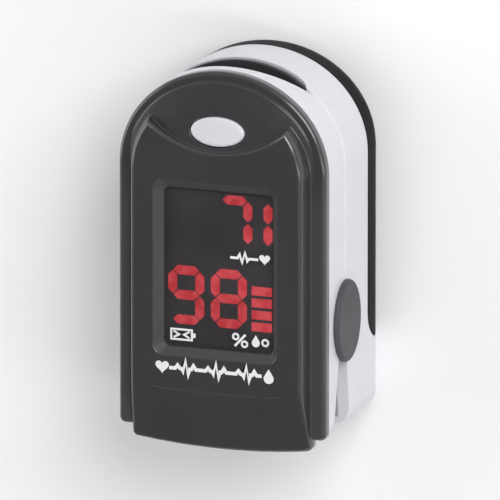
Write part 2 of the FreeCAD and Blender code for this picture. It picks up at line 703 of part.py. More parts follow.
def display_lens():
    return rounded_rect(0, (LENS_Y0 + LENS_Y1) / 2, LENS_W, LENS_Y1 - LENS_Y0, 1.2,
                        LENS_Z, LENS_TOP)


# ---------------------------------------------------------------- button
def dome(offset):
    return Part.makeSphere(DOME_R + offset, Vector(0, DOME_Y, DOME_TOP - DOME_R))


def button_oval(half_x, half_y, z0, z1):
    edge = Part.Ellipse(Vector(0, BUTTON_Y, z0), half_x, half_y).toShape()
    return Part.Face(Part.Wire([edge])).extrude(Vector(0, 0, z1 - z0))


def tact_switch():
    switch = box(-2.1, 2.1, BUTTON_Y - 1.8, BUTTON_Y + 1.8, BOARD_TOP, 27.5)
    return switch.common(jaw_plan(2.6, 20, 30)).cut(post(1.05, 0, BUTTON_Y, 26, 3))


def power_button():
    cap = button_oval(BUTTON_HALF_X, BUTTON_HALF_Y, 28.0, 33.0).common(dome(0.30))
    cap = soften(cap, 0.45, lambda e: e.BoundBox.ZMin > 29.5)
    flange = button_oval(5.3, 3.0, 28.0, 28.4)
    stem = post(1.2, 0, BUTTON_Y, 27.95, 0.3)
    return fuse(cap, flange, stem)


# ---------------------------------------------------------------- top cover
def smile_x(a, b):
    """x where the smile circle meets the half ellipse (a, b) of the panel's side."""
    low, high = 5.0, a - 0.05
    for _ in range(60):
        x = (low + high) / 2
        ellipse_y = ARCH_Y + b * math.sqrt(1 - (x / a) ** 2)
        circle_y = SMILE_Y - math.sqrt(SMILE_R ** 2 - x ** 2)
        if ellipse_y > circle_y:
            low = x
        else:
            high = x
    return (low + high) / 2


def panel_wire(inset, z):
    a, b = HALF_W - inset, ARCH_L - inset
    x = smile_x(a, b)
    angle = math.acos(x / a)
    y = ARCH_Y + b * math.sin(angle)
    ellipse = Part.Ellipse(Vector(0, ARCH_Y, z), a, b)
    return Part.Wire([
        Part.ArcOfEllipse(ellipse, 0, angle).toShape(),
        arc((x, y, z), (0, SMILE_Y - SMILE_R, z), (-x, y, z)),
        Part.ArcOfEllipse(ellipse, math.pi - angle, math.pi).toShape(),
        line((-a, ARCH_Y, z), (-a, PANEL_END_CORNER, z)),
        arc((-a, PANEL_END_CORNER, z), (0, PANEL_END_MID, z), (a, PANEL_END_CORNER, z)),
        line((a, PANEL_END_CORNER, z), (a, ARCH_Y, z)),
    ])


def crease_groove():
    """Fine V groove along the crease, bowed toward the squeeze end."""
    bow_r, half_angle = 100.0, 5.8
    centre = Vector(0, CREASE_Y + bow_r, 0)
    vee = Part.Face(Part.makePolygon([
        Vector(0, CREASE_Y + y, PANEL_Z + z)
        for y, z in ((-1.0, 0.8), (0.2, 0.8), (-0.4, -0.3), (-1.0, 0.8))]))
    vee.rotate(centre, Vector(0, 0, 1), -half_angle)
    return vee.revolve(centre, Vector(0, 0, 1), 2 * half_angle)


def raised_panel():
    panel = Part.makeLoft([panel_wire(PANEL_FOOT_INSET, PANEL_FOOT_Z),
                           panel_wire(PANEL_TOP_INSET, PANEL_Z)], True, True)
    foot = Part.Face(panel_wire(PANEL_FOOT_INSET, COVER_Z)).extrude(
        Vector(0, 0, PANEL_FOOT_Z - COVER_Z))
    panel = fuse(panel, foot)
    panel = panel.common(side_prism([
        (PANEL_BACK_Y, COVER_Z - 0.01), (PANEL_BACK_Y, PANEL_END_Z), (CREASE_Y, PANEL_Z),
        (REACH_Y, PANEL_Z + 0.01), (REACH_Y, COVER_Z - 0.01)]))

    def is_rear_corner(edge):
        ends = edge.Vertexes
        return (len(ends) == 2 and abs(ends[0].Z - ends[1].Z) > 0.5
                and edge.BoundBox.YMax < -28.0)

    def is_top_rim(edge):
        b = edge.BoundBox
        on_crease = abs(b.YMin - CREASE_Y) < 0.02 and abs(b.YMax - CREASE_Y) < 0.02
        on_slope = b.YMax < -18 and b.ZMin > 27.7 and b.ZMax > 28.0
        return (b.ZMin > 29.9 or on_slope) and not on_crease

    panel = soften(panel, 1.0, is_rear_corner)
    panel = soften(panel, 0.8, is_top_rim)
    return panel.cut(crease_groove())


def dome_blank(inset, z0):
    blank = jaw_plan(inset, z0, 32.0)
    return blank.common(box(-REACH_X, REACH_X, DOME_BACK_Y, 40, 20, 40))


def cover_cavities():
    """Hollows under the base, the dome and the panel."""
    z0, ceiling = COVER_Z - 1, PANEL_Z - COVER_WALL
    under_base = jaw_plan(UPPER_WALL, z0, SHOULDER_Z - COVER_WALL, 1.0)
    under_dome = dome_blank(3.1, z0).common(dome(-COVER_WALL))
    under_panel = jaw_plan(4.4, z0, ceiling, rear_y=-30.5).cut(
        post(SMILE_R + COVER_WALL, 0, SMILE_Y, 20, 20))
    under_panel = under_panel.common(side_prism([
        (PANEL_BACK_Y, COVER_Z - 2), (PANEL_BACK_Y, PANEL_END_Z - COVER_WALL),
        (CREASE_Y + 0.3, ceiling), (REACH_Y, ceiling), (REACH_Y, COVER_Z - 2)]))
    return under_base, under_dome, under_panel


def rounded_rect_wire(x0, x1, y0, y1, radius, z):
    block = rounded_rect((x0 + x1) / 2, (y0 + y1) / 2, x1 - x0, y1 - y0, radius, z, z + 1)
    return [f for f in block.Faces if abs(f.BoundBox.ZMax - z) < 1e-6][0].OuterWire


def window_bevel():
    """Flared cutter through the panel, carried on past its top face."""
    over = 0.4
    flare = (PANEL_Z + over - LENS_TOP) / (PANEL_Z - LENS_TOP)
    wide = [lens + (top - lens) * flare for lens, top in zip(WIN_LENS, WIN_TOP)]
    return Part.makeLoft([rounded_rect_wire(*WIN_LENS, 0.9, LENS_TOP - 0.02),
                          rounded_rect_wire(*wide, 1.9, PANEL_Z + over)], True, True)


def top_cover():
    base = jaw_plan(0.0, COVER_Z, SHOULDER_Z, 1.0)
    base = soften(base, 0.7, lambda e: lies_at_z(e, SHOULDER_Z, 1e-6))
    crown = dome_blank(1.45, COVER_Z).common(dome(0.0))
    cover = fuse(base, crown, raised_panel())
    cover = cut(cover, *cover_cavities(), window_bevel())
    cover = cover.cut(button_oval(BUTTON_HALF_X + BUTTON_GAP, BUTTON_HALF_Y + BUTTON_GAP,
                                  25, 33))
    bosses = []
    for x, y in COVER_SCREWS:
        boss_top = 28.0 if abs(x) > 12 else 29.4   # the outer pair is under the shoulder
        bosses.append(post(1.5, x, y, FLOOR_TOP, boss_top - FLOOR_TOP))
    return drill(fuse(cover, *bosses), COVER_SCREWS, PILOT_R, 24, 3.9)


# ---------------------------------------------------------------- export
# Each of these functions has the name of its piece
for build in (battery_door, lower_shell, battery_tray, battery_link_contact,
              battery_end_contacts, lower_cradle, lower_finger_pad, hinge_pin, flex_cable,
              upper_shell, upper_finger_pad, main_board, board_chips, display_module,
              digit_segments, display_lens, tact_switch, power_button, top_cover):
    export(build.__name__, build())

for build in (pivot_cover, torsion_spring):
    right, left = pair(build())
    export(build.__name__ + "_right", right)
    export(build.__name__ + "_left", left)

export("battery_cell_left", battery_cell(-CELL_X, CELL_LEFT_Y, 1))
export("battery_cell_right", battery_cell(CELL_X, CELL_RIGHT_Y, -1))

export("tray_screws", screws(TRAY_SCREWS, TRAY_Z, 1, 3.4))
export("board_screws", screws(BOARD_SCREWS, BOARD_TOP, -1, 2.2))
export("cover_screws", screws(COVER_SCREWS, FLOOR_Z, 1, 3.3))

# photodiode board, diode and clear window under the finger
export("sensor_board", box(-2.5, 2.5, 3.5, 11.0, 13.75, 14.1))
export("photodiode", box(-1.7, 1.7, OPTIC_Y - 1.4, OPTIC_Y + 1.4, 14.1, 14.85))
export("sensor_window", optic_window(5.4, 4.4, 0.9, 14.95, 15.75))

# emitter and its window above the finger
export("emitter_window", optic_window(4.5, 3.5, 0.75, 23.45, 24.15))
export("emitter_led", box(-1.8, 1.8, OPTIC_Y - 1.4, OPTIC_Y + 1.4, 24.4, BOARD_Z))

export("switch_plunger", post(1.0, 0, BUTTON_Y, 27.15, 0.8))
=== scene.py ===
"""A clip-on fingertip oximeter, closed, lying on a pale floor.

X runs across the body, +Y points to the mouth where the finger goes in, and +Z is up. The lower
and upper halves turn on a hinge that runs along X. The display faces up and the battery door
faces the floor. Shapes are worked out in millimetres and scaled by MM into metres.
"""
import json
import math

import bmesh
import bpy
from mathutils import Matrix, Vector


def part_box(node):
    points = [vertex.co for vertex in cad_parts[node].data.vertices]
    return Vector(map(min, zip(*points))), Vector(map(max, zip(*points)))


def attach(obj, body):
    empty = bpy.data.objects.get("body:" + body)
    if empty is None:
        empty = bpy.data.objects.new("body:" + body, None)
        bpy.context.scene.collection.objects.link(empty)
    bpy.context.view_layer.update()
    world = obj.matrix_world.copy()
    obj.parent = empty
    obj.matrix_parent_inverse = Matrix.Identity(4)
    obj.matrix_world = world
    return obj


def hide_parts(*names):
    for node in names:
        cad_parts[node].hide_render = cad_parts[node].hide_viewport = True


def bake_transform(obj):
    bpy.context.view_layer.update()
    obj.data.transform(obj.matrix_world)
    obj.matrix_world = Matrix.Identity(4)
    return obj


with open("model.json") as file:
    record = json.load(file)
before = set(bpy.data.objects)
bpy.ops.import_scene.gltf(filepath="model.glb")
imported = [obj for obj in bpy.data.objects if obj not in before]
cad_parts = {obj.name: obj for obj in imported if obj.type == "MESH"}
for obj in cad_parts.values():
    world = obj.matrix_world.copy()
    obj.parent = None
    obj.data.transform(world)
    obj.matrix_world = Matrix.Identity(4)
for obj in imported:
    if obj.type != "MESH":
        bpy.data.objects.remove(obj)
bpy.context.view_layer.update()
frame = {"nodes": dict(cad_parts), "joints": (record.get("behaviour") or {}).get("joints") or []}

MM = 0.001
BACKDROP = (0.88, 0.88, 0.89)     # tone behind the product and of the far floor

# ---------------------------------------------------------------- places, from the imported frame
HINGE = next(Vector(joint["pos_m"]) for joint in frame["joints"] if joint["name"] == "jaw_hinge")
_, lens_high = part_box("display_lens")
_, cover_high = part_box("top_cover")
LENS_TOP = lens_high.z / MM
PANEL_TOP = cover_high.z / MM


# ---------------------------------------------------------------- material helper
class Material:
    """A procedural material, one node per call. Texture space is the part's own, in metres."""

    INPUTS = {
        "color": "Base Color", "rough": "Roughness", "metal": "Metallic", "normal": "Normal",
        "spec": "Specular IOR Level", "coat": "Coat Weight", "coat_rough": "Coat Roughness",
        "coat_normal": "Coat Normal", "sss": "Subsurface Weight",
        "sss_scale": "Subsurface Scale", "sss_radius": "Subsurface Radius",
        "emit": "Emission Color", "emit_strength": "Emission Strength",
        "sheen": "Sheen Weight", "sheen_rough": "Sheen Roughness",
    }

    def __init__(self, name):
        self.data = bpy.data.materials.new(name)
        self.data.use_nodes = True
        self.tree = self.data.node_tree
        self.tree.nodes.clear()
        self.coord = self.node("TexCoord").outputs["Object"]
        self.surface = self.node("OutputMaterial")

    def node(self, kind, **props):
        node = self.tree.nodes.new("ShaderNode" + kind)
        for key, value in props.items():
            setattr(node, key, value)
        return node

    def put(self, socket, value):
        """Link a socket or set a plain value; an RGB colour gets an alpha of 1."""
        if isinstance(value, bpy.types.NodeSocket):
            self.tree.links.new(value, socket)
            return
        if hasattr(value, "__len__") and len(value) == 3 and len(socket.default_value) == 4:
            value = (*value, 1.0)
        socket.default_value = value

    def mapped(self, scale=(1, 1, 1), rot=(0, 0, 0), loc=(0, 0, 0)):
        node = self.node("Mapping")
        self.put(node.inputs["Vector"], self.coord)
        self.put(node.inputs["Scale"], scale)
        self.put(node.inputs["Rotation"], rot)
        self.put(node.inputs["Location"], loc)
        return node.outputs["Vector"]

    def noise(self, mm, detail=2.0, rough=0.5, src=None, distort=0.0):
        """Noise whose features are about mm millimetres."""
        node = self.node("TexNoise")
        self.put(node.inputs["Vector"], src or self.coord)
        self.put(node.inputs["Scale"], 1000.0 / mm)
        self.put(node.inputs["Detail"], detail)
        self.put(node.inputs["Roughness"], rough)
        self.put(node.inputs["Distortion"], distort)
        return node.outputs["Fac"]

    def voronoi(self, mm):
        """Distance inside cells about mm millimetres wide."""
        node = self.node("TexVoronoi")
        self.put(node.inputs["Vector"], self.coord)
        self.put(node.inputs["Scale"], 1000.0 / mm)
        return node.outputs["Distance"]

    def math(self, operation, *values, clamp=False):
        node = self.node("Math", operation=operation, use_clamp=clamp)
        for socket, value in zip(node.inputs, values):
            self.put(socket, value)
        return node.outputs[0]

    def times(self, first, second):
        return self.math("MULTIPLY", first, second)

    def add(self, base, mask, by, clamp=False):
        """base + mask * by."""
        return self.math("ADD", base, self.times(mask, by), clamp=clamp)

    def band(self, value, lo=0.3, hi=0.7, to=(0.0, 1.0)):
        """value mapped from lo..hi to to[0]..to[1], clamped, smooth; falling where lo > hi."""
        node = self.node("MapRange", interpolation_type="SMOOTHSTEP")
        self.put(node.inputs["Value"], value)
        self.put(node.inputs["From Min"], lo)
        self.put(node.inputs["From Max"], hi)
        self.put(node.inputs["To Min"], to[0])
        self.put(node.inputs["To Max"], to[1])
        return node.outputs["Result"]

    def mix(self, factor, off, on, amount=None):
        """Colour off where factor is 0 and on where it is 1; amount scales the factor."""
        if amount is not None:
            factor = self.times(factor, amount)
        node = self.node("Mix", data_type="RGBA", blend_type="MIX")
        # sockets 6, 7 and output 2 are the colour ones
        for index, value in ((0, factor), (6, off), (7, on)):
            self.put(node.inputs[index], value)
        return node.outputs[2]

    def mix_shader(self, factor, off, on):
        node = self.node("MixShader")
        for socket, value in zip(node.inputs, (factor, off, on)):
            self.put(socket, value)
        return node.outputs[0]

    def xyz(self, src=None):
        node = self.node("SeparateXYZ")
        self.put(node.inputs[0], src or self.coord)
        return node.outputs["X"], node.outputs["Y"], node.outputs["Z"]

    def bump(self, height, mm, strength=1.0, normal=None):
        node = self.node("Bump")
        self.put(node.inputs["Strength"], strength)
        self.put(node.inputs["Distance"], mm * MM)
        self.put(node.inputs["Height"], height)
        if normal is not None:
            self.put(node.inputs["Normal"], normal)
        return node.outputs["Normal"]

    def scratches(self, mm, scale, rot, lo, hi):
        """Hairlines: noise drawn out in one direction, only its peaks kept."""
        return self.band(self.noise(mm=mm, src=self.mapped(scale=scale, rot=rot)), lo=lo, hi=hi)

    def soft_edge(self, mm):
        """Shading normal with every crisp edge eased by mm, as a moulded edge is."""
        node = self.node("Bevel", samples=6)
        self.put(node.inputs["Radius"], mm * MM)
        return node.outputs["Normal"]

    def edge_mask(self, mm):
        """1 on crisp edges, 0 on open faces."""
        geometry = self.node("NewGeometry")
        dot = self.node("VectorMath", operation="DOT_PRODUCT")
        self.put(dot.inputs[0], self.soft_edge(mm))
        self.put(dot.inputs[1], geometry.outputs["Normal"])
        return self.band(dot.outputs["Value"], lo=0.985, hi=0.80)

    def inside_box(self, low, high, soft):
        """1 inside the box low..high (mm), 0 outside; a bound of None is open."""
        mask = None
        for value, start, end in zip(self.xyz(), low, high):
            for edge, way in ((start, 1), (end, -1)):
                if edge is None:
                    continue
                side = self.band(value, lo=(edge - way * soft) * MM, hi=(edge + way * soft) * MM)
                mask = side if mask is None else self.times(mask, side)
        return mask

    def principled(self, **values):
        node = self.node("BsdfPrincipled")
        for key, value in values.items():
            self.put(node.inputs[self.INPUTS[key]], value)
        return node.outputs["BSDF"]

    def done(self, shader):
        self.put_surface = self.tree.links.new(shader, self.surface.inputs["Surface"])
        return self.data


def scaled(color, factor, offset=0.0):
    return tuple(channel * factor + offset for channel in color)


# ---------------------------------------------------------------- moulded plastics
def moulded(name, color, rough, grain_mm=0.35, grain=0.004, tint=0.05, coat=0.0, coat_rough=0.05,
            smudge=0.08, scuff=0.06, edge_mm=0.12, painted_edge_highlight=0.0, spec=0.5, sss=0.0,
            sparked=False, wave_mm=0.09, painted_shading=None, painted_shading_color=None, region_rough=0.0):
    """Injection moulded plastic with tint drift, sink waves, skin grain, scuffs and smudges.

    grain and wave_mm are heights in mm. The edge highlight factor colours crisp edges lighter,
    a painted highlight. The painted shading function gives a mask for an area coloured in the
    painted shading colour, which is painted shade or painted light, and a mask or None for an
    area that is rougher by region_rough and has no coat.
    """
    mat = Material(name)
    coated = coat > 0
    slow = mat.noise(mm=14.0, detail=3.0, rough=0.55)
    fine = mat.noise(mm=grain_mm, detail=3.0, rough=0.6)
    cloud = mat.noise(mm=5.5, detail=4.0, rough=0.62, distort=0.6)
    # hairline scuffs in two directions, only in patches
    scuffs_a = mat.scratches(mm=0.9, scale=(0.035, 1.6, 1.0), rot=(0.2, 0.1, 0.55),
                             lo=0.70, hi=0.76)
    scuffs_b = mat.scratches(mm=0.8, scale=(1.7, 0.04, 1.0), rot=(0.1, 0.3, -0.35),
                             lo=0.71, hi=0.77)
    patches = mat.noise(mm=11.0, src=mat.mapped(loc=(0.013, 0.004, 0.021)))
    lines = mat.times(mat.math("MAXIMUM", scuffs_a, scuffs_b), mat.band(patches, lo=0.46, hi=0.62))

    base = mat.mix(mat.band(slow), scaled(color, 1 - tint), scaled(color, 1 + tint))
    # painted highlight: crisp edges are coloured lighter, standing in for the highlight lines that
    # light draws on them
    if painted_edge_highlight:
        base = mat.mix(mat.edge_mask(mm=0.35), base, scaled(color, 1.6, offset=0.05),
                       amount=painted_edge_highlight)
    roughness = mat.add(rough, mat.band(cloud, lo=0.45, hi=0.75), by=smudge)
    roughness = mat.add(roughness, lines, by=scuff, clamp=True)
    # painted shade or painted light: the masked area takes a darker or lighter colour standing in
    # for how light falls there
    if painted_shading:
        painted_shading_mask, matt_mask = painted_shading(mat)
        painted_shading_base = mat.mix(mat.band(slow), scaled(painted_shading_color, 0.97), painted_shading_color)
        base = mat.mix(painted_shading_mask, base, painted_shading_base)
        if matt_mask is not None:
            roughness = mat.add(roughness, matt_mask, by=region_rough, clamp=True)
            coat = mat.times(coat, mat.math("SUBTRACT", 1.0, matt_mask))

    eased = mat.soft_edge(mm=edge_mm)
    normal = mat.bump(slow, mm=wave_mm, strength=0.12, normal=eased)
    if sparked:                   # the pitted texture of a spark-eroded mould
        pits = mat.add(mat.times(mat.voronoi(mm=0.16), 0.6), mat.noise(mm=0.09, rough=0.7), by=0.7)
        normal = mat.bump(pits, mm=0.035, strength=0.55, normal=normal)
    normal = mat.bump(fine, mm=grain, strength=0.6, normal=normal)
    normal = mat.bump(lines, mm=-0.004, strength=0.6, normal=normal)
    values = dict(color=base, rough=roughness, normal=normal, spec=spec)
    if coated:
        smudges = mat.band(cloud, lo=0.45, hi=0.78)
        values.update(coat=coat, coat_rough=mat.add(coat_rough, smudges, by=smudge * 0.9),
                      coat_normal=mat.bump(slow, mm=wave_mm, strength=0.10, normal=eased))
    if sss:
        values.update(sss=sss, sss_scale=0.0012, sss_radius=(1.0, 0.95, 0.9))
    return mat.done(mat.principled(**values))


def painted_gap_shade(mat):
    """Painted shade: the walls inside the squeeze gap are coloured darker for the shadow in the gap,
    with the same polish.
    """
    return mat.inside_box((-15.2, -25.95, 14.8), (15.2, -13.2, 24.5), soft=0.1), None


def painted_cover_light(mat):
    """The bevel round the window is matt and coloured lighter, a painted reflection; the shoulders
    beside the panel are coloured lighter, a painted highlight.
    """
    bevel = mat.inside_box((-10.6, -15.4, 29.0), (10.35, 13.4, 30.93), soft=0.03)
    low_sides = mat.inside_box((None, -27.7, None), (None, None, 28.55), soft=0.15)
    shoulder = mat.times(low_sides, mat.band(mat.xyz()[1], lo=17.0 * MM, hi=8.0 * MM))
    return mat.math("MAXIMUM", bevel, shoulder), bevel


MATERIALS = {
    "white": moulded(
        "white_shell", color=(0.655, 0.648, 0.686), rough=0.30, grain_mm=0.45, grain=0.003,
        tint=0.018, smudge=0.10, scuff=0.10, edge_mm=0.16, sss=0.05, wave_mm=0.054,
        # painted shade inside the squeeze gap
        painted_shading=painted_gap_shade, painted_shading_color=(0.335, 0.328, 0.368)),
    "white_inner": moulded(
        "white_inner", color=(0.66, 0.66, 0.70), rough=0.46, grain_mm=0.3, grain=0.006,
        tint=0.03, smudge=0.05, scuff=0.03, edge_mm=0.10),
    "black": moulded(
        "black_cover", color=(0.026, 0.026, 0.028), rough=0.30, grain_mm=0.5, grain=0.002,
        tint=0.08, coat=0.75, coat_rough=0.07, smudge=0.10, scuff=0.10, edge_mm=0.34,
        # painted highlight on the cover's edges
        painted_edge_highlight=0.48, wave_mm=0.054, painted_shading=painted_cover_light,
        # painted reflection on the window bevel and painted highlight on the shoulders
        painted_shading_color=(0.044, 0.044, 0.0465), region_rough=0.30),
    "door": moulded(
        "black_door", color=(0.012, 0.012, 0.013), rough=0.50, grain_mm=0.30, grain=0.006,
        # painted highlight on the door's edges
        tint=0.08, smudge=0.10, scuff=0.12, edge_mm=0.16, painted_edge_highlight=0.25, spec=0.05),
    "cap": moulded(
        "grey_cap", color=(0.070, 0.070, 0.076), rough=0.50, grain_mm=0.2, tint=0.06,
        # painted highlight on the cap's edges
        scuff=0.08, edge_mm=0.15, painted_edge_highlight=0.3, sparked=True, spec=0.25),
    "button": moulded(
        "button_silver", color=(0.665, 0.655, 0.695), rough=0.24, grain_mm=0.4, grain=0.002,
        tint=0.02, coat=0.4, coat_rough=0.08, smudge=0.10, scuff=0.05, edge_mm=0.15, sss=0.04),
    "switch": moulded("switch_body", color=(0.08, 0.08, 0.085), rough=0.5, sparked=True),
}


# ---------------------------------------------------------------- other materials
def silicone():
    """Dark matt rubber with dust caught in patches."""
    mat = Material("silicone")
    grain = mat.noise(mm=0.22, detail=4.0, rough=0.65)
    slow = mat.noise(mm=6.0, detail=3.0)
    dust = mat.times(mat.band(mat.noise(mm=0.28, rough=0.6), lo=0.68, hi=0.78),
                     mat.band(slow, lo=0.42, hi=0.62))
    base = mat.mix(mat.band(slow), off=(0.016, 0.016, 0.018), on=(0.026, 0.026, 0.028))
    base = mat.mix(dust, base, on=(0.16, 0.155, 0.15), amount=0.35)
    roughness = mat.band(grain, lo=0.25, hi=0.8, to=(0.46, 0.66))
    normal = mat.bump(grain, mm=0.018, strength=0.5,
                      normal=mat.bump(slow, mm=0.05, strength=0.25))
    return mat.done(mat.principled(color=base, rough=roughness, normal=normal, spec=0.35,
                                   sheen=0.18, sheen_rough=0.4))


def tinted_lens():
    """Smoked acrylic: what is behind shows darkened, the face reflects like glass."""
    mat = Material("tinted_lens")
    cloud = mat.noise(mm=6.0, detail=4.0, rough=0.6, distort=0.5)
    hair = mat.scratches(mm=0.8, scale=(0.03, 1.5, 1.0), rot=(0, 0, 0.8), lo=0.71, hi=0.76)
    polish = 0.04                 # roughness of the clean face
    marks = mat.add(mat.times(mat.band(cloud, lo=0.5, hi=0.8), 0.06), hair, by=0.10)
    clear = mat.node("BsdfTransparent")
    mat.put(clear.inputs["Color"], mat.mix(mat.band(mat.noise(mm=12.0)),
                                           off=(0.585, 0.575, 0.585), on=(0.64, 0.63, 0.64)))
    gloss = mat.node("BsdfGlossy")
    mat.put(gloss.inputs["Color"], (1.0, 1.0, 1.0))
    mat.put(gloss.inputs["Roughness"], mat.math("ADD", polish, marks))
    mat.put(gloss.inputs["Normal"], mat.bump(mat.noise(mm=8.0), mm=0.02, strength=0.15,
                                             normal=mat.soft_edge(mm=0.1)))
    fresnel = mat.node("Fresnel")
    mat.put(fresnel.inputs["IOR"], 1.40)
    geometry = mat.node("NewGeometry")
    front = mat.math("SUBTRACT", 1.0, geometry.outputs["Backfacing"])
    reflect = mat.times(fresnel.outputs[0], front)
    return mat.done(mat.mix_shader(reflect, clear.outputs[0], gloss.outputs[0]))


def clear_window():
    """Hazy, faintly red plastic, partly see-through."""
    mat = Material("clear_window")
    haze = mat.noise(mm=0.8, detail=3.0, rough=0.6)
    clear = mat.node("BsdfTransparent")
    mat.put(clear.inputs["Color"],
            mat.mix(mat.band(haze), off=(0.80, 0.74, 0.72), on=(0.90, 0.86, 0.84)))
    body = mat.principled(color=(0.32, 0.10, 0.09), spec=0.6,
                          rough=mat.band(haze, hi=0.8, to=(0.08, 0.22)),
                          normal=mat.bump(haze, mm=0.01, strength=0.3))
    body_share = 0.45
    return mat.done(mat.mix_shader(body_share, clear.outputs[0], body))


def lit_segments():
    """Lit LED bars: a glow with slow hotter patches and a fine diffuser grain."""
    mat = Material("segments_red")
    grain = mat.noise(mm=0.22, rough=0.6)
    slow = mat.noise(mm=1.6)
    glow = mat.mix(mat.band(slow, lo=0.32, hi=0.68),
                   off=(0.76, 0.058, 0.070), on=(0.97, 0.125, 0.138))
    brightness = 1.45
    strength = mat.times(mat.band(grain, lo=0.2, hi=0.8, to=(0.92, 1.08)), brightness)
    return mat.done(mat.principled(color=(0.25, 0.01, 0.015), rough=0.5, emit=glow,
                                   emit_strength=strength))


def dull(name, dark, light, grain_mm, rough=(0.5, 0.75), bump_mm=0.01):
    """Plain matt plastic, mottled between two tones."""
    mat = Material(name)
    grain = mat.noise(mm=grain_mm, detail=4.0, rough=0.6)
    return mat.done(mat.principled(
        color=mat.mix(mat.band(grain), dark, light),
        rough=mat.band(grain, lo=0.2, hi=0.8, to=rough),
        normal=mat.bump(grain, mm=bump_mm, strength=0.5, normal=mat.soft_edge(mm=0.05)),
        spec=0.4))


def circuit_board():
    """Green solder mask over a glass weave, with patches of thin straight traces."""
    mat = Material("board_green")
    x, y, _ = mat.xyz()
    weave_rate = 9000.0           # radians per metre
    weave = mat.times(mat.math("SINE", mat.times(x, weave_rate)),
                      mat.math("SINE", mat.times(y, weave_rate)))
    bricks = mat.node("TexBrick")
    brick_inputs = {
        "Vector": mat.mapped(scale=(260.0, 260.0, 260.0)), "Scale": 1.0, "Mortar Size": 0.035,
        "Brick Width": 0.9, "Row Height": 0.35,
        "Color1": (0, 0, 0, 1), "Color2": (0, 0, 0, 1), "Mortar": (1, 1, 1, 1),
    }
    for key, value in brick_inputs.items():
        mat.put(bricks.inputs[key], value)
    trace = mat.times(bricks.outputs["Color"], mat.band(mat.noise(mm=4.0), lo=0.40, hi=0.55))
    base = mat.mix(mat.band(mat.noise(mm=3.0, detail=3.0)),
                   off=(0.010, 0.085, 0.035), on=(0.014, 0.110, 0.045))
    base = mat.mix(trace, base, on=(0.035, 0.20, 0.09), amount=0.7)
    normal = mat.bump(weave, mm=0.004, strength=0.3,
                      normal=mat.bump(trace, mm=0.02, strength=0.6))
    return mat.done(mat.principled(color=base, rough=0.32, normal=normal, spec=0.5, coat=0.3,
                                   coat_rough=0.15))


def metal(name, color, rough, grain_mm):
    """Bare metal with fine grain, darker and rougher where it has tarnished."""
    mat = Material(name)
    grain = mat.noise(mm=grain_mm, detail=3.0, rough=0.6, src=mat.mapped())
    stain = mat.noise(mm=2.2, detail=3.0, rough=0.6)
    tarnish = 0.12                # roughness added by a stain; its tone weighs three times this
    base = mat.mix(mat.band(stain, lo=0.45, hi=0.75), color, scaled(color, 0.55),
                   amount=tarnish * 3)
    roughness = mat.add(mat.band(grain, lo=0.2, hi=0.8, to=(rough * 0.7, rough * 1.35)),
                        mat.band(stain, lo=0.45, hi=0.8), by=tarnish, clamp=True)
    normal = mat.bump(grain, mm=0.004, strength=0.6, normal=mat.soft_edge(mm=0.05))
    return mat.done(mat.principled(color=base, rough=roughness, metal=1.0, normal=normal))


def battery_cell():
    """Printed shrink sleeve with plain colour bands round each cell, and bare steel ends."""
    mat = Material("cell_sleeve")
    x, y, _ = mat.xyz()
    normal_y = mat.xyz(mat.node("TexCoord").outputs["Normal"])[1]
    end = mat.band(mat.math("ABSOLUTE", normal_y), lo=0.55, hi=0.85)
    grain = mat.noise(mm=0.25, detail=3.0, rough=0.6)
    wrap = mat.noise(mm=7.0, detail=3.0)
    # the cells lie head to tail, so y is turned round for the one at +X
    side = mat.band(x, lo=-0.0002, hi=0.0002)
    split = mat.node("SeparateColor")
    mat.put(split.inputs[0], mat.mix(side, y, mat.times(y, -1.0)))
    along = split.outputs[0]
    broad_band = mat.band(along, lo=0.0098, hi=0.0101)
    thin_band = mat.times(mat.band(along, lo=0.0080, hi=0.0082),
                          mat.band(along, lo=0.0092, hi=0.0090))
    paint = mat.mix(broad_band, off=(0.055, 0.058, 0.066), on=(0.60, 0.30, 0.06))
    paint = mat.mix(thin_band, paint, on=(0.62, 0.62, 0.64))
    paint = mat.mix(mat.band(wrap, lo=0.4), paint, on=(0.10, 0.10, 0.11), amount=0.25)
    relief = mat.bump(wrap, mm=0.05, strength=0.2,
                      normal=mat.bump(grain, mm=0.004, strength=0.4))
    sleeve = mat.principled(color=paint, rough=mat.band(grain, lo=0.2, hi=0.8, to=(0.24, 0.36)),
                            normal=relief, spec=0.5, coat=0.4, coat_rough=0.12)
    steel = mat.principled(color=(0.62, 0.61, 0.59), metal=1.0,
                           rough=mat.band(grain, lo=0.2, hi=0.8, to=(0.2, 0.38)),
                           normal=mat.bump(grain, mm=0.006, strength=0.5))
    return mat.done(mat.mix_shader(end, sleeve, steel))


def amber_flex():
    """Amber film over copper lanes that repeat across X."""
    mat = Material("flex_amber")
    lane_pitch = 0.5 * MM
    wave = mat.math("SINE", mat.times(mat.xyz()[0], math.pi / lane_pitch))
    copper = mat.band(mat.math("ABSOLUTE", wave), lo=0.45, hi=0.62)
    base = mat.mix(copper, off=(0.42, 0.16, 0.022), on=(0.62, 0.30, 0.07))
    normal = mat.bump(copper, mm=0.02, strength=0.6,
                      normal=mat.bump(mat.noise(mm=2.0), mm=0.05, strength=0.2))
    roughness = mat.band(mat.noise(mm=0.4), lo=0.2, hi=0.8, to=(0.22, 0.38))
    return mat.done(mat.principled(color=base, rough=roughness, normal=normal, coat=0.3,
                                   coat_rough=0.1))


def ink(name, color, rough):
    """Printed ink with darker specks."""
    mat = Material(name)
    speck = mat.noise(mm=0.09, detail=3.0, rough=0.7)
    thin = mat.band(mat.noise(mm=0.5), lo=0.25, hi=0.55, to=(0.90, 1.0))
    base = mat.mix(mat.band(speck, lo=0.30, hi=0.42), scaled(color, 0.78), color)
    return mat.done(mat.principled(color=base, rough=mat.times(rough, thin), spec=0.4,
                                   normal=mat.bump(speck, mm=0.004, strength=0.5)))


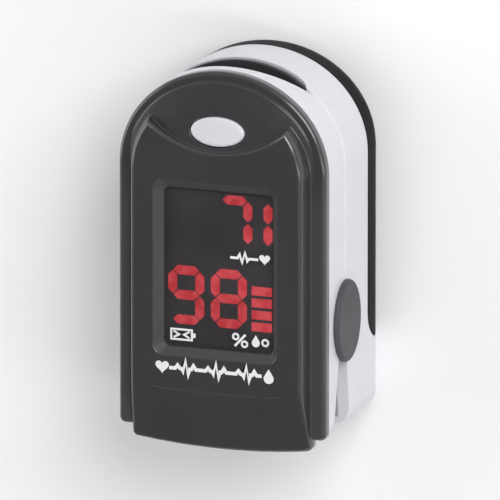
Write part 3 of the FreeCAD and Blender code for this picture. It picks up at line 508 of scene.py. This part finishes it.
MATERIALS.update({
    "silicone": silicone(),
    "lens": tinted_lens(),
    "window": clear_window(),
    "led": lit_segments(),
    "module": dull("module_black", dark=(0.238, 0.236, 0.240), light=(0.258, 0.256, 0.260),
                   grain_mm=0.3),
    "chip": dull("chip_black", dark=(0.012, 0.012, 0.013), light=(0.024, 0.024, 0.025),
                 grain_mm=0.12, rough=(0.45, 0.7), bump_mm=0.012),
    "board": circuit_board(),
    "steel": metal("steel", color=(0.60, 0.60, 0.61), rough=0.30, grain_mm=0.12),
    "spring": metal("spring_steel", color=(0.52, 0.52, 0.54), rough=0.26, grain_mm=0.10),
    "nickel": metal("nickel", color=(0.70, 0.67, 0.62), rough=0.18, grain_mm=0.4),
    "cell": battery_cell(),
    "flex": amber_flex(),
    "ink": ink("print_white", color=(0.80, 0.80, 0.81), rough=0.45),
    "ink_emboss": ink("print_door", color=(0.10, 0.10, 0.105), rough=0.5),
})


# ---------------------------------------------------------------- CAD pieces take their finish
FINISH = {
    "top_cover": "black", "upper_shell": "white", "lower_shell": "white",
    "battery_door": "door", "battery_tray": "white_inner", "lower_cradle": "white_inner",
    "pivot_cover_left": "cap", "pivot_cover_right": "cap", "power_button": "button",
    "display_lens": "lens", "digit_segments": "led", "display_module": "module",
    "main_board": "board", "sensor_board": "board", "board_chips": "chip",
    "photodiode": "chip", "emitter_led": "chip", "tact_switch": "switch",
    "switch_plunger": "switch", "board_screws": "steel", "cover_screws": "steel",
    "tray_screws": "steel", "hinge_pin": "steel", "battery_link_contact": "nickel",
    "battery_end_contacts": "nickel", "battery_cell_left": "cell",
    "battery_cell_right": "cell", "sensor_window": "window", "emitter_window": "window",
    "torsion_spring_left": "spring", "torsion_spring_right": "spring", "flex_cable": "flex",
    "lower_finger_pad": "silicone", "upper_finger_pad": "silicone",
}
for piece_name, piece in frame["nodes"].items():
    finish = MATERIALS[FINISH[piece_name]]
    if not piece.material_slots:
        piece.data.materials.append(finish)
    for material_slot in piece.material_slots:
        material_slot.material = finish


# ---------------------------------------------------------------- mesh helpers
def new_object(name, verts, faces, material, smooth=True):
    mesh = bpy.data.meshes.new(name)
    mesh.from_pydata([tuple(vert) for vert in verts], [], faces)
    mesh.update()
    bm = bmesh.new()
    bm.from_mesh(mesh)
    bmesh.ops.recalc_face_normals(bm, faces=bm.faces)
    bm.to_mesh(mesh)
    bm.free()
    for face in mesh.polygons:
        face.use_smooth = smooth
    mesh.materials.append(MATERIALS[material])
    obj = bpy.data.objects.new(name, mesh)
    bpy.context.scene.collection.objects.link(obj)
    return obj


def apply_modifiers(obj):
    graph = bpy.context.evaluated_depsgraph_get()
    mesh = bpy.data.meshes.new_from_object(obj.evaluated_get(graph),
                                           preserve_all_data_layers=True, depsgraph=graph)
    old = obj.data
    obj.modifiers.clear()
    obj.data = mesh
    bpy.data.meshes.remove(old)


def tube(points, radius, sides):
    """Vertices and faces of a round wire along points, narrowed and closed at both ends."""
    points = [Vector(point) for point in points]
    last = len(points) - 1
    end_taper = 0.55
    verts, faces = [], []
    previous = (points[1] - points[0]).normalized()
    normal = previous.orthogonal().normalized()
    for i, point in enumerate(points):
        tangent = (points[min(i + 1, last)] - points[max(i - 1, 0)]).normalized()
        normal = previous.rotation_difference(tangent) @ normal
        normal = (normal - tangent * normal.dot(tangent)).normalized()
        previous = tangent
        binormal = tangent.cross(normal)
        ring_radius = radius * (end_taper if i in (0, last) else 1.0)
        for k in range(sides):
            angle = 2 * math.pi * k / sides
            offset = normal * math.cos(angle) + binormal * math.sin(angle)
            verts.append(point + offset * ring_radius)
    for i in range(last):
        for k in range(sides):
            here, beside = i * sides + k, i * sides + (k + 1) % sides
            faces.append((here, beside, beside + sides, here + sides))
    faces.append(tuple(range(sides))[::-1])
    faces.append(tuple(last * sides + k for k in range(sides)))
    return verts, faces


def rounded_block(name, center, size, radius, bottom, top, steps=6):
    """An upright block with rounded corners, sizes in mm."""
    outline = []
    for side_x, side_y, start in ((1, 1, 0), (-1, 1, 90), (-1, -1, 180), (1, -1, 270)):
        for k in range(steps + 1):
            angle = math.radians(start + 90 * k / steps)
            x = center[0] + side_x * (size[0] / 2 - radius) + radius * math.cos(angle)
            y = center[1] + side_y * (size[1] / 2 - radius) + radius * math.sin(angle)
            outline.append((x, y))
    n = len(outline)
    verts = [(x * MM, y * MM, z * MM) for z in (bottom, top) for x, y in outline]
    faces = [tuple(range(n))[::-1], tuple(range(n, 2 * n))]
    faces += [(k, (k + 1) % n, n + (k + 1) % n, n + k) for k in range(n)]
    return new_object(name, verts, faces, "silicone")


# ---------------------------------------------------------------- silicone pads (mm)
# the body's front outline is half an ellipse
ARCH_Y, ARCH_HALF_WIDTH, ARCH_DEPTH = 14.5, 17.0, 15.5
TIP_Y = 8.0                       # middle of the fingertip seat and of the window holes
RIB_WIDTH = 0.55


def front_y(x, inset):
    ratio = x / (ARCH_HALF_WIDTH - inset)
    return ARCH_Y + (ARCH_DEPTH - inset) * math.sqrt(1 - ratio ** 2)


def smoothstep(t):
    t = max(0.0, min(1.0, t))
    return t * t * (3 - 2 * t)


def hump(y, center, width):
    return math.exp(-((y - center) / width) ** 2)


def pad_mesh(name, section, back_y, inset, columns, rows, thickness, hole):
    """A skin over the section curve and a second one raised above it, joined at the edges.

    section(u, y) gives x and z for u from -1 to 1; inset(x) is the gap to the front outline.
    """
    skin = []
    for i in range(columns + 1):
        u = -1 + 2 * i / columns
        end_y = 24.0
        for _ in range(30):       # settle on the y where this column meets the front outline
            x, _z = section(u, end_y)
            end_y += 0.5 * (front_y(x, inset(x)) - end_y)
        for j in range(rows + 1):
            y = back_y + (end_y - back_y) * (j / rows)
            x, z = section(u, y)
            skin.append(Vector((x * MM, y * MM, z * MM)))

    def idx(i, j, layer=0):
        return layer * len(skin) + i * (rows + 1) + j

    raised = []
    for i in range(columns + 1):
        for j in range(rows + 1):
            across = skin[idx(min(i + 1, columns), j)] - skin[idx(max(i - 1, 0), j)]
            along = skin[idx(i, min(j + 1, rows))] - skin[idx(i, max(j - 1, 0))]
            normal = across.cross(along).normalized()
            if normal.z < 0:
                normal = -normal
            raised.append(skin[idx(i, j)] + normal * thickness * MM)

    faces = []
    for i in range(columns):
        for j in range(rows):
            faces.append((idx(i, j), idx(i + 1, j), idx(i + 1, j + 1), idx(i, j + 1)))
            faces.append((idx(i, j, 1), idx(i, j + 1, 1), idx(i + 1, j + 1, 1), idx(i + 1, j, 1)))
    for i in range(columns):
        faces.append((idx(i, 0), idx(i, 0, 1), idx(i + 1, 0, 1), idx(i + 1, 0)))
        faces.append((idx(i, rows), idx(i + 1, rows), idx(i + 1, rows, 1), idx(i, rows, 1)))
    for j in range(rows):
        faces.append((idx(0, j), idx(0, j + 1), idx(0, j + 1, 1), idx(0, j, 1)))
        faces.append((idx(columns, j), idx(columns, j, 1), idx(columns, j + 1, 1),
                      idx(columns, j + 1)))
    pad = new_object(name, skin + raised, faces, "silicone")

    cutter = rounded_block("cutter", **hole)
    cut = pad.modifiers.new("hole", "BOOLEAN")
    cut.object = cutter
    cut.operation = "DIFFERENCE"
    cut.solver = "EXACT"
    apply_modifiers(pad)
    bpy.data.objects.remove(cutter)

    bevel = pad.modifiers.new("edge", "BEVEL")
    bevel.width = 0.16 * MM
    bevel.segments = 3
    bevel.limit_method = "ANGLE"
    bevel.angle_limit = math.radians(48)
    apply_modifiers(pad)
    for face in pad.data.polygons:
        face.use_smooth = True
    pad.data.set_sharp_from_angle(angle=math.radians(60))
    return pad


def lower_section(u, y):
    """Lower trough: an elliptical floor and walls, then a narrow flange at each side."""
    axis_z, rim_z = 19.6, 18.92
    floor_share = 0.86            # part of u spent below the rim
    flange_width, flange_rise = 1.15, 0.22
    widen = smoothstep((y - 19.0) / 11.0)     # wider and shallower toward the mouth
    half_width = 8.7 + (10.5 - 8.7) * widen
    depth = 4.1 + (1.00 - 4.1) * widen
    depth += 0.18 * hump(y, TIP_Y, 9.0)       # a shallow seat for the fingertip
    depth -= 0.35 * smoothstep((-0.5 - y) / 3.5)              # rises to the end stop
    rim_x = half_width * math.sqrt(1 - ((axis_z - rim_z) / depth) ** 2)
    if abs(u) < floor_share:
        share = abs(u) / floor_share
        x = rim_x * share ** 0.9
        z = axis_z - depth * math.sqrt(1 - (x / half_width) ** 2)
        for rib_y in (16.0, 19.0, 22.0):      # soft grip ribs across the floor
            z += 0.16 * hump(y, rib_y, RIB_WIDTH) * (1 - share ** 4)
    else:
        share = (abs(u) - floor_share) / (1 - floor_share)
        x = rim_x + flange_width * share
        z = rim_z + flange_rise * math.sin(math.pi * share * 0.9)
    return math.copysign(x, u), z


def upper_section(u, y):
    """Upper pad: an arch over the finger."""
    axis_z, half_width = 19.9, 10.35
    height = 3.5 - 0.10 * hump(y, TIP_Y, 8.0)
    height += 0.18 * smoothstep((y - 24.0) / 4.0)
    angle = abs(u) * (math.pi / 2 - 0.07)
    z = axis_z + height * math.cos(angle)
    for rib_y in (13.5, 16.5, 19.5):
        z -= 0.14 * hump(y, rib_y, RIB_WIDTH) * (1 - abs(u) ** 4)
    return math.copysign(half_width * math.sin(angle), u), z


lower_pad = pad_mesh(
    "finger_pad_lower", lower_section, back_y=-4.1,
    inset=lambda x: 0.16 + 0.30 * smoothstep((abs(x) - 9.8) / 1.2),
    columns=56, rows=80, thickness=0.62,
    hole=dict(center=(0, TIP_Y), size=(5.2, 4.2), radius=0.9, bottom=12.0, top=18.0))
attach(lower_pad, "lower_half")
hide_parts("lower_finger_pad")

upper_pad = pad_mesh(
    "finger_pad_upper", upper_section, back_y=-3.55, inset=lambda x: 1.75,
    columns=56, rows=72, thickness=0.70,
    hole=dict(center=(0, TIP_Y), size=(4.4, 3.4), radius=0.8, bottom=20.0, top=26.0))
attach(upper_pad, "upper_half")
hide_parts("upper_finger_pad")


# ---------------------------------------------------------------- torsion springs (mm)
COIL_RADIUS, WIRE_RADIUS, TURNS, COIL_PITCH = 1.9, 0.30, 5, 0.72
COIL_X = 5.6                      # start of the coil, from the middle of the body
LEG_REACH = -11.2                 # leg tips in y, from the hinge
LEG_GAP = 0.04                    # clearance between a leg and its seat
PLATE_SLOPE = -math.tan(math.radians(7.2))
UPPER_FLOOR_Z = 24.2
LEG_STEPS, STEPS_PER_TURN = 15, 26


def spring(name, side, node):
    """Coil on the hinge pin, one leg on the lower plate and one under the upper floor."""
    pin_y, pin_z = HINGE.y / MM, HINGE.z / MM
    low_tip = (LEG_REACH, PLATE_SLOPE * -LEG_REACH + WIRE_RADIUS + LEG_GAP)
    high_tip = (LEG_REACH, UPPER_FLOOR_Z - pin_z - WIRE_RADIUS - LEG_GAP)

    def touch_angle(tip, way):
        """Angle at which a straight leg from tip touches the coil."""
        return math.atan2(tip[1], tip[0]) + way * math.acos(COIL_RADIUS / math.hypot(*tip))

    def on_coil(angle):
        return COIL_RADIUS * math.cos(angle), COIL_RADIUS * math.sin(angle)

    def leg_point(x, start, end, t):
        return x, start[0] + (end[0] - start[0]) * t, start[1] + (end[1] - start[1]) * t

    low_angle, high_angle = touch_angle(low_tip, -1), touch_angle(high_tip, 1)
    sweep = (TURNS - 1) * 2 * math.pi + ((high_angle - low_angle) % (2 * math.pi))
    length = TURNS * COIL_PITCH
    coil_steps = STEPS_PER_TURN * TURNS
    points = [leg_point(COIL_X, low_tip, on_coil(low_angle), k / LEG_STEPS)
              for k in range(LEG_STEPS)]
    for k in range(coil_steps + 1):
        t = k / coil_steps
        points.append((COIL_X + length * t, *on_coil(low_angle + sweep * t)))
    points += [leg_point(COIL_X + length, on_coil(high_angle), high_tip, k / LEG_STEPS)
               for k in range(1, LEG_STEPS + 1)]
    points = [(side * x * MM, (y + pin_y) * MM, (z + pin_z) * MM) for x, y, z in points]
    verts, faces = tube(points, WIRE_RADIUS * MM, sides=12)
    coil = new_object(name, verts, faces, "spring")
    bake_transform(coil)
    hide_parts(node)


spring("torsion_coil_right", 1, "torsion_spring_right")
spring("torsion_coil_left", -1, "torsion_spring_left")


# ---------------------------------------------------------------- flex cable (mm)
# (y, z) from the board in the lower half up to the one in the upper half
FLEX_PATH = [
    (3.6, 14.19), (0.0, 14.19), (-4.2, 14.22), (-6.2, 14.75), (-7.35, 16.2),
    (-7.6, 18.2), (-7.35, 20.4), (-6.95, 22.2), (-7.0, 24.0), (-7.2, 25.8),
]
FLEX_WIDTH, FLEX_HALF_THICK = 5.0, 0.07
FLEX_COLUMNS, FLEX_STEPS = 20, 8


def catmull_rom(path, steps):
    """A smooth curve through path, with steps points to each stretch."""
    points = []
    for i in range(len(path) - 1):
        corners = (path[max(i - 1, 0)], path[i], path[i + 1], path[min(i + 2, len(path) - 1)])
        for k in range(steps):
            t = k / steps
            points.append(tuple(
                0.5 * (2 * b + (c - a) * t + (2 * a - 5 * b + 4 * c - d) * t * t
                       + (3 * b - a - 3 * c + d) * t ** 3)
                for a, b, c, d in zip(*corners)))
    points.append(path[-1])
    return points


def flex_ribbon():
    """A thin ribbon, one face to each side of the path."""
    points = catmull_rom(FLEX_PATH, FLEX_STEPS)
    across = [-FLEX_WIDTH / 2 + FLEX_WIDTH * k / FLEX_COLUMNS for k in range(FLEX_COLUMNS + 1)]
    verts, faces = [], []
    for side in (1, -1):
        for i, (y, z) in enumerate(points):
            before = points[max(i - 1, 0)]
            after = points[min(i + 1, len(points) - 1)]
            dy, dz = after[0] - before[0], after[1] - before[1]
            offset = side * FLEX_HALF_THICK / math.hypot(dy, dz)
            for x in across:
                verts.append((x * MM, (y - dz * offset) * MM, (z + dy * offset) * MM))
    width, count = len(across), len(points)
    base = width * count
    for i in range(count - 1):
        row, following = i * width, (i + 1) * width
        for k in range(width - 1):
            a, b = row + k, following + k
            faces.append((a, a + 1, b + 1, b))
            faces.append((base + a, base + b, base + b + 1, base + a + 1))
        faces.append((row, following, base + following, base + row))
        a, b = row + width - 1, following + width - 1
        faces.append((a, base + a, base + b, b))
    for k in range(width - 1):
        faces.append((k, base + k, base + k + 1, k + 1))
        a = (count - 1) * width + k
        faces.append((a, a + 1, base + a + 1, base + a))
    ribbon = new_object("flex_ribbon", verts, faces, "flex")
    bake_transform(ribbon)
    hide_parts("flex_cable")


flex_ribbon()


# ---------------------------------------------------------------- printed marks (mm)
def print_loops(name, loops, bottom, top, material="ink", body="upper_half"):
    """A flat print of closed loops, each filled."""
    verts, faces = [], []
    for order, loop in enumerate(loops):
        n, base = len(loop), len(verts)
        # stepped, so that no two shapes share a plane
        for z in (bottom + 0.0011 * order, top + 0.0023 * order):
            verts += [(x * MM, y * MM, z * MM) for x, y in loop]
        faces.append(tuple(base + k for k in range(n))[::-1])
        faces.append(tuple(base + n + k for k in range(n)))
        faces += [(base + k, base + (k + 1) % n, base + n + (k + 1) % n, base + n + k)
                  for k in range(n)]
    mark = new_object(name, verts, faces, material, smooth=False)
    bm = bmesh.new()
    bm.from_mesh(mark.data)
    bmesh.ops.triangulate(bm, faces=[face for face in bm.faces if len(face.verts) > 4])
    bm.to_mesh(mark.data)
    bm.free()
    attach(mark, body)


def stroke(points, width):
    """Closed outline of a polyline with mitred corners."""
    left, right = [], []
    last = len(points) - 1
    for i in range(last + 1):
        point = Vector(points[i])
        reach = 1.0
        if i == 0:
            tangent = (Vector(points[1]) - point).normalized()
        else:
            tangent = (point - Vector(points[i - 1])).normalized()
        if 0 < i < last:
            onward = (Vector(points[i + 1]) - point).normalized()
            tangent = (tangent + onward).normalized()
            reach = min(2.2, 1.0 / max(0.3, tangent.dot(onward)))
        normal = Vector((-tangent.y, tangent.x))
        left.append(tuple(point + normal * width / 2 * reach))
        right.append(tuple(point - normal * width / 2 * reach))
    return left + right[::-1]


def arc(cx, cy, radius, start, sweep, steps):
    """Points along an arc, angles in degrees."""
    angles = [math.radians(start + sweep * k / steps) for k in range(steps + 1)]
    return [(cx + radius * math.cos(angle), cy + radius * math.sin(angle)) for angle in angles]


def ring(cx, cy, radius, width=0.34):
    return stroke(arc(cx, cy, radius, start=0, sweep=360, steps=32), width)


def drop(cx, tip_y, cy, radius):
    return [(cx, tip_y)] + arc(cx, cy, radius, start=150, sweep=240, steps=24)


def heart(cx, cy, size, steps=40):
    """The usual heart curve, 32 units wide before scaling."""
    points = []
    for k in range(steps):
        t = 2 * math.pi * k / steps
        x = 16 * math.sin(t) ** 3
        y = 13 * math.cos(t) - 5 * math.cos(2 * t) - 2 * math.cos(3 * t) - math.cos(4 * t)
        points.append((cx + size * x / 32, cy + size * (y + 2) / 32))
    return points


def battery_outline():
    """A box with a nub at +X and a chevron pointing in from each end."""
    left, right, bottom, top = -7.7, -4.3, -12.55, -10.95
    middle = (bottom + top) / 2
    line, overlap = 0.33, 0.14
    loops = [stroke([(left, y), (right, y)], line) for y in (bottom, top)]
    loops += [stroke([(x, bottom - overlap), (x, top + overlap)], line) for x in (left, right)]
    loops.append([(right + 0.1, middle - 0.35), (right + 0.6, middle - 0.35),
                  (right + 0.6, middle + 0.35), (right + 0.1, middle + 0.35)])
    for x, way in ((left, 1), (right, -1)):
        loops.append(stroke([(x + way * 0.40, top - 0.3), (x + way * 1.30, middle),
                             (x + way * 0.40, bottom + 0.3)], 0.31))
    return loops


def lens_print(name, loops):
    print_loops(name, loops, LENS_TOP + 0.002, LENS_TOP + 0.030)


# rate: a small pulse trace and a heart
RATE_TRACE = [(2.0, 1.25), (3.2, 1.25), (3.55, 1.85), (3.95, 0.55), (4.4, 2.15), (4.8, 0.9),
              (5.1, 1.25), (6.6, 1.25)]
lens_print("mark_rate", [stroke(RATE_TRACE, 0.42), heart(7.65, 1.3, size=1.8)])

# saturation: a percent sign, a drop and a ring
lens_print("mark_saturation", [
    ring(2.9, -11.25, radius=0.44), ring(4.35, -12.35, radius=0.44),
    stroke([(2.75, -12.75), (4.5, -10.85)], 0.38),
    drop(6.2, tip_y=-10.75, cy=-12.0, radius=0.66), ring(7.75, -11.85, radius=0.48)])

lens_print("mark_battery", battery_outline())

# pulse line across the panel, between a heart at -X and a drop at +X
LINE_Y, LINE_HALF, BEAT_PITCH, END_MARK_X = -16.85, 7.6, 5.0, 8.75
# (x, y) of one beat, from its middle on the line
BEAT = [(-1.6, 0), (-1.2, 0.5), (-0.8, 0), (-0.5, 0), (-0.3, -0.45), (0.1, 1.3),
        (0.5, -1.1), (0.75, 0), (1.05, 0), (1.4, 0.6), (1.8, 0)]
pulse_line = [(-LINE_HALF, LINE_Y)]
for beat in (-1, 0, 1):
    pulse_line += [(beat * BEAT_PITCH + x, LINE_Y + y) for x, y in BEAT]
pulse_line.append((LINE_HALF, LINE_Y))
print_loops("mark_pulse_line", [
    stroke(pulse_line, 0.56), heart(-END_MARK_X, LINE_Y, size=2.2),
    drop(END_MARK_X, tip_y=LINE_Y + 1.2, cy=LINE_Y - 0.30, radius=0.82),
], PANEL_TOP + 0.001, PANEL_TOP + 0.035)

# arrow on the door, pointing the way it slides
print_loops("door_arrow", [[(-2.2, -9.2), (2.2, -9.2), (0.0, -6.2)]], 0.002, 0.12,
            material="ink_emboss", body="battery_door")


# ---------------------------------------------------------------- stage
def pale_floor():
    """Matt pale board, fading far away into the backdrop's tone so that no horizon shows."""
    mat = Material("floor_pale")
    slow = mat.noise(mm=60.0, detail=3.0)
    fine = mat.noise(mm=0.9, detail=3.0, rough=0.6)
    base = mat.mix(mat.band(slow), off=(0.925, 0.925, 0.93), on=(0.945, 0.945, 0.95))
    board = mat.principled(color=base, rough=mat.band(fine, lo=0.2, hi=0.8, to=(0.55, 0.7)),
                           normal=mat.bump(fine, mm=0.01, strength=0.2), spec=0.25)
    x, y, _ = mat.xyz()
    distance = mat.math("SQRT", mat.math("ADD", mat.times(x, x), mat.times(y, y)))
    glow = mat.node("Emission")
    mat.put(glow.inputs["Color"], BACKDROP)
    return mat.done(mat.mix_shader(mat.band(distance, lo=0.18, hi=0.75), board,
                                   glow.outputs[0]))


bpy.ops.mesh.primitive_plane_add(size=6.0, location=(0, 0, -0.00005))
floor = bpy.context.object
floor.name = "floor"
floor.data.materials.append(pale_floor())


def studio_world():
    """A soft room, brighter low down and toward the key side; the camera sees the backdrop."""
    world = bpy.data.worlds.new("studio")
    bpy.context.scene.world = world
    world.use_nodes = True
    nodes, link = world.node_tree.nodes, world.node_tree.links.new
    nodes.clear()
    coord = nodes.new("ShaderNodeTexCoord")
    ramp = nodes.new("ShaderNodeValToRGB")
    room = nodes.new("ShaderNodeBackground")
    seen = nodes.new("ShaderNodeBackground")
    path = nodes.new("ShaderNodeLightPath")
    mix = nodes.new("ShaderNodeMixShader")
    output = nodes.new("ShaderNodeOutputWorld")
    tilt = nodes.new("ShaderNodeVectorMath")
    tilt.operation = "DOT_PRODUCT"
    tilt.inputs[1].default_value = (0.30, 0.22, -0.62)        # toward the bright side
    link(coord.outputs["Generated"], tilt.inputs[0])
    shift = nodes.new("ShaderNodeMapRange")
    shift.inputs["From Min"].default_value = -0.72
    shift.inputs["From Max"].default_value = 0.45
    link(tilt.outputs["Value"], shift.inputs["Value"])
    link(shift.outputs["Result"], ramp.inputs[0])
    # (position, colour) from the dim side to the bright side
    stops = [(0.0, (0.29, 0.29, 0.30, 1)), (0.30, (0.31, 0.31, 0.32, 1)),
             (0.62, (0.46, 0.46, 0.475, 1)), (1.0, (0.68, 0.68, 0.70, 1))]
    elements = ramp.color_ramp.elements       # starts with stops at 0 and 1
    for position, _ in stops[1:-1]:
        elements.new(position)
    for element, (_, color) in zip(elements, stops):
        element.color = color
    link(ramp.outputs[0], room.inputs["Color"])
    room.inputs["Strength"].default_value = 0.90
    seen.inputs["Color"].default_value = (*BACKDROP, 1)
    link(path.outputs["Is Camera Ray"], mix.inputs[0])
    link(room.outputs[0], mix.inputs[1])
    link(seen.outputs[0], mix.inputs[2])
    link(mix.outputs[0], output.inputs["Surface"])


studio_world()


def aimed_area(name, loc, target, size, power):
    light = bpy.data.lights.new(name, "AREA")
    light.shape = "RECTANGLE"
    light.size, light.size_y = size
    light.energy = power
    lamp = bpy.data.objects.new(name, light)
    bpy.context.scene.collection.objects.link(lamp)
    lamp.location = loc
    lamp.rotation_euler = (Vector(target) - Vector(loc)).to_track_quat("-Z", "Y").to_euler()


# name, place, point it is aimed at, width and height (m), power (W)
LIGHTS = [
    ("key", (0.36, 0.32, 0.56), (0, 0, 0.015), (0.36, 0.36), 3.40),
    ("strip", (0.50, -0.06, 0.52), (0, 0, 0.02), (0.11, 0.60), 0.80),
    ("top_strip", (-0.18, 0.46, 0.47), (0, 0.01, 0.02), (0.62, 0.06), 0.24),
    ("fill", (-0.62, 0.10, 0.30), (0, 0, 0.015), (0.50, 0.30), 1.5),
    ("rear_fill", (0.10, -0.70, 0.24), (0, 0, 0.015), (0.6, 0.26), 0.85),
]
for light_row in LIGHTS:
    aimed_area(*light_row)


# ---------------------------------------------------------------- camera
def add_camera():
    """A long lens high above, turned toward +X and a little toward +Y."""
    turn, lean, distance = math.radians(20.5), math.radians(14.5), 3.0
    half_view = 0.0386            # half the width seen at the product
    back = Vector((math.sin(turn) * math.cos(lean), math.sin(lean),
                   math.cos(turn) * math.cos(lean)))
    right = Vector((math.cos(turn), 0.0, -math.sin(turn)))
    up = back.cross(right)
    target = Vector((0, 0, 0.0155)) + right * -0.0001 - up * 0.0012
    data = bpy.data.cameras.new("camera")
    data.sensor_width = 36.0
    data.lens = data.sensor_width / (2 * half_view / distance)
    data.clip_start = 0.1
    data.clip_end = 20.0
    camera = bpy.data.objects.new("camera", data)
    bpy.context.scene.collection.objects.link(camera)
    facing = Matrix((right, up, back)).transposed().to_4x4()
    camera.matrix_world = Matrix.Translation(target + back * distance) @ facing
    bpy.context.scene.camera = camera


add_camera()
bpy.context.scene.view_settings.view_transform = "Standard"
bpy.context.scene.view_settings.look = "None"
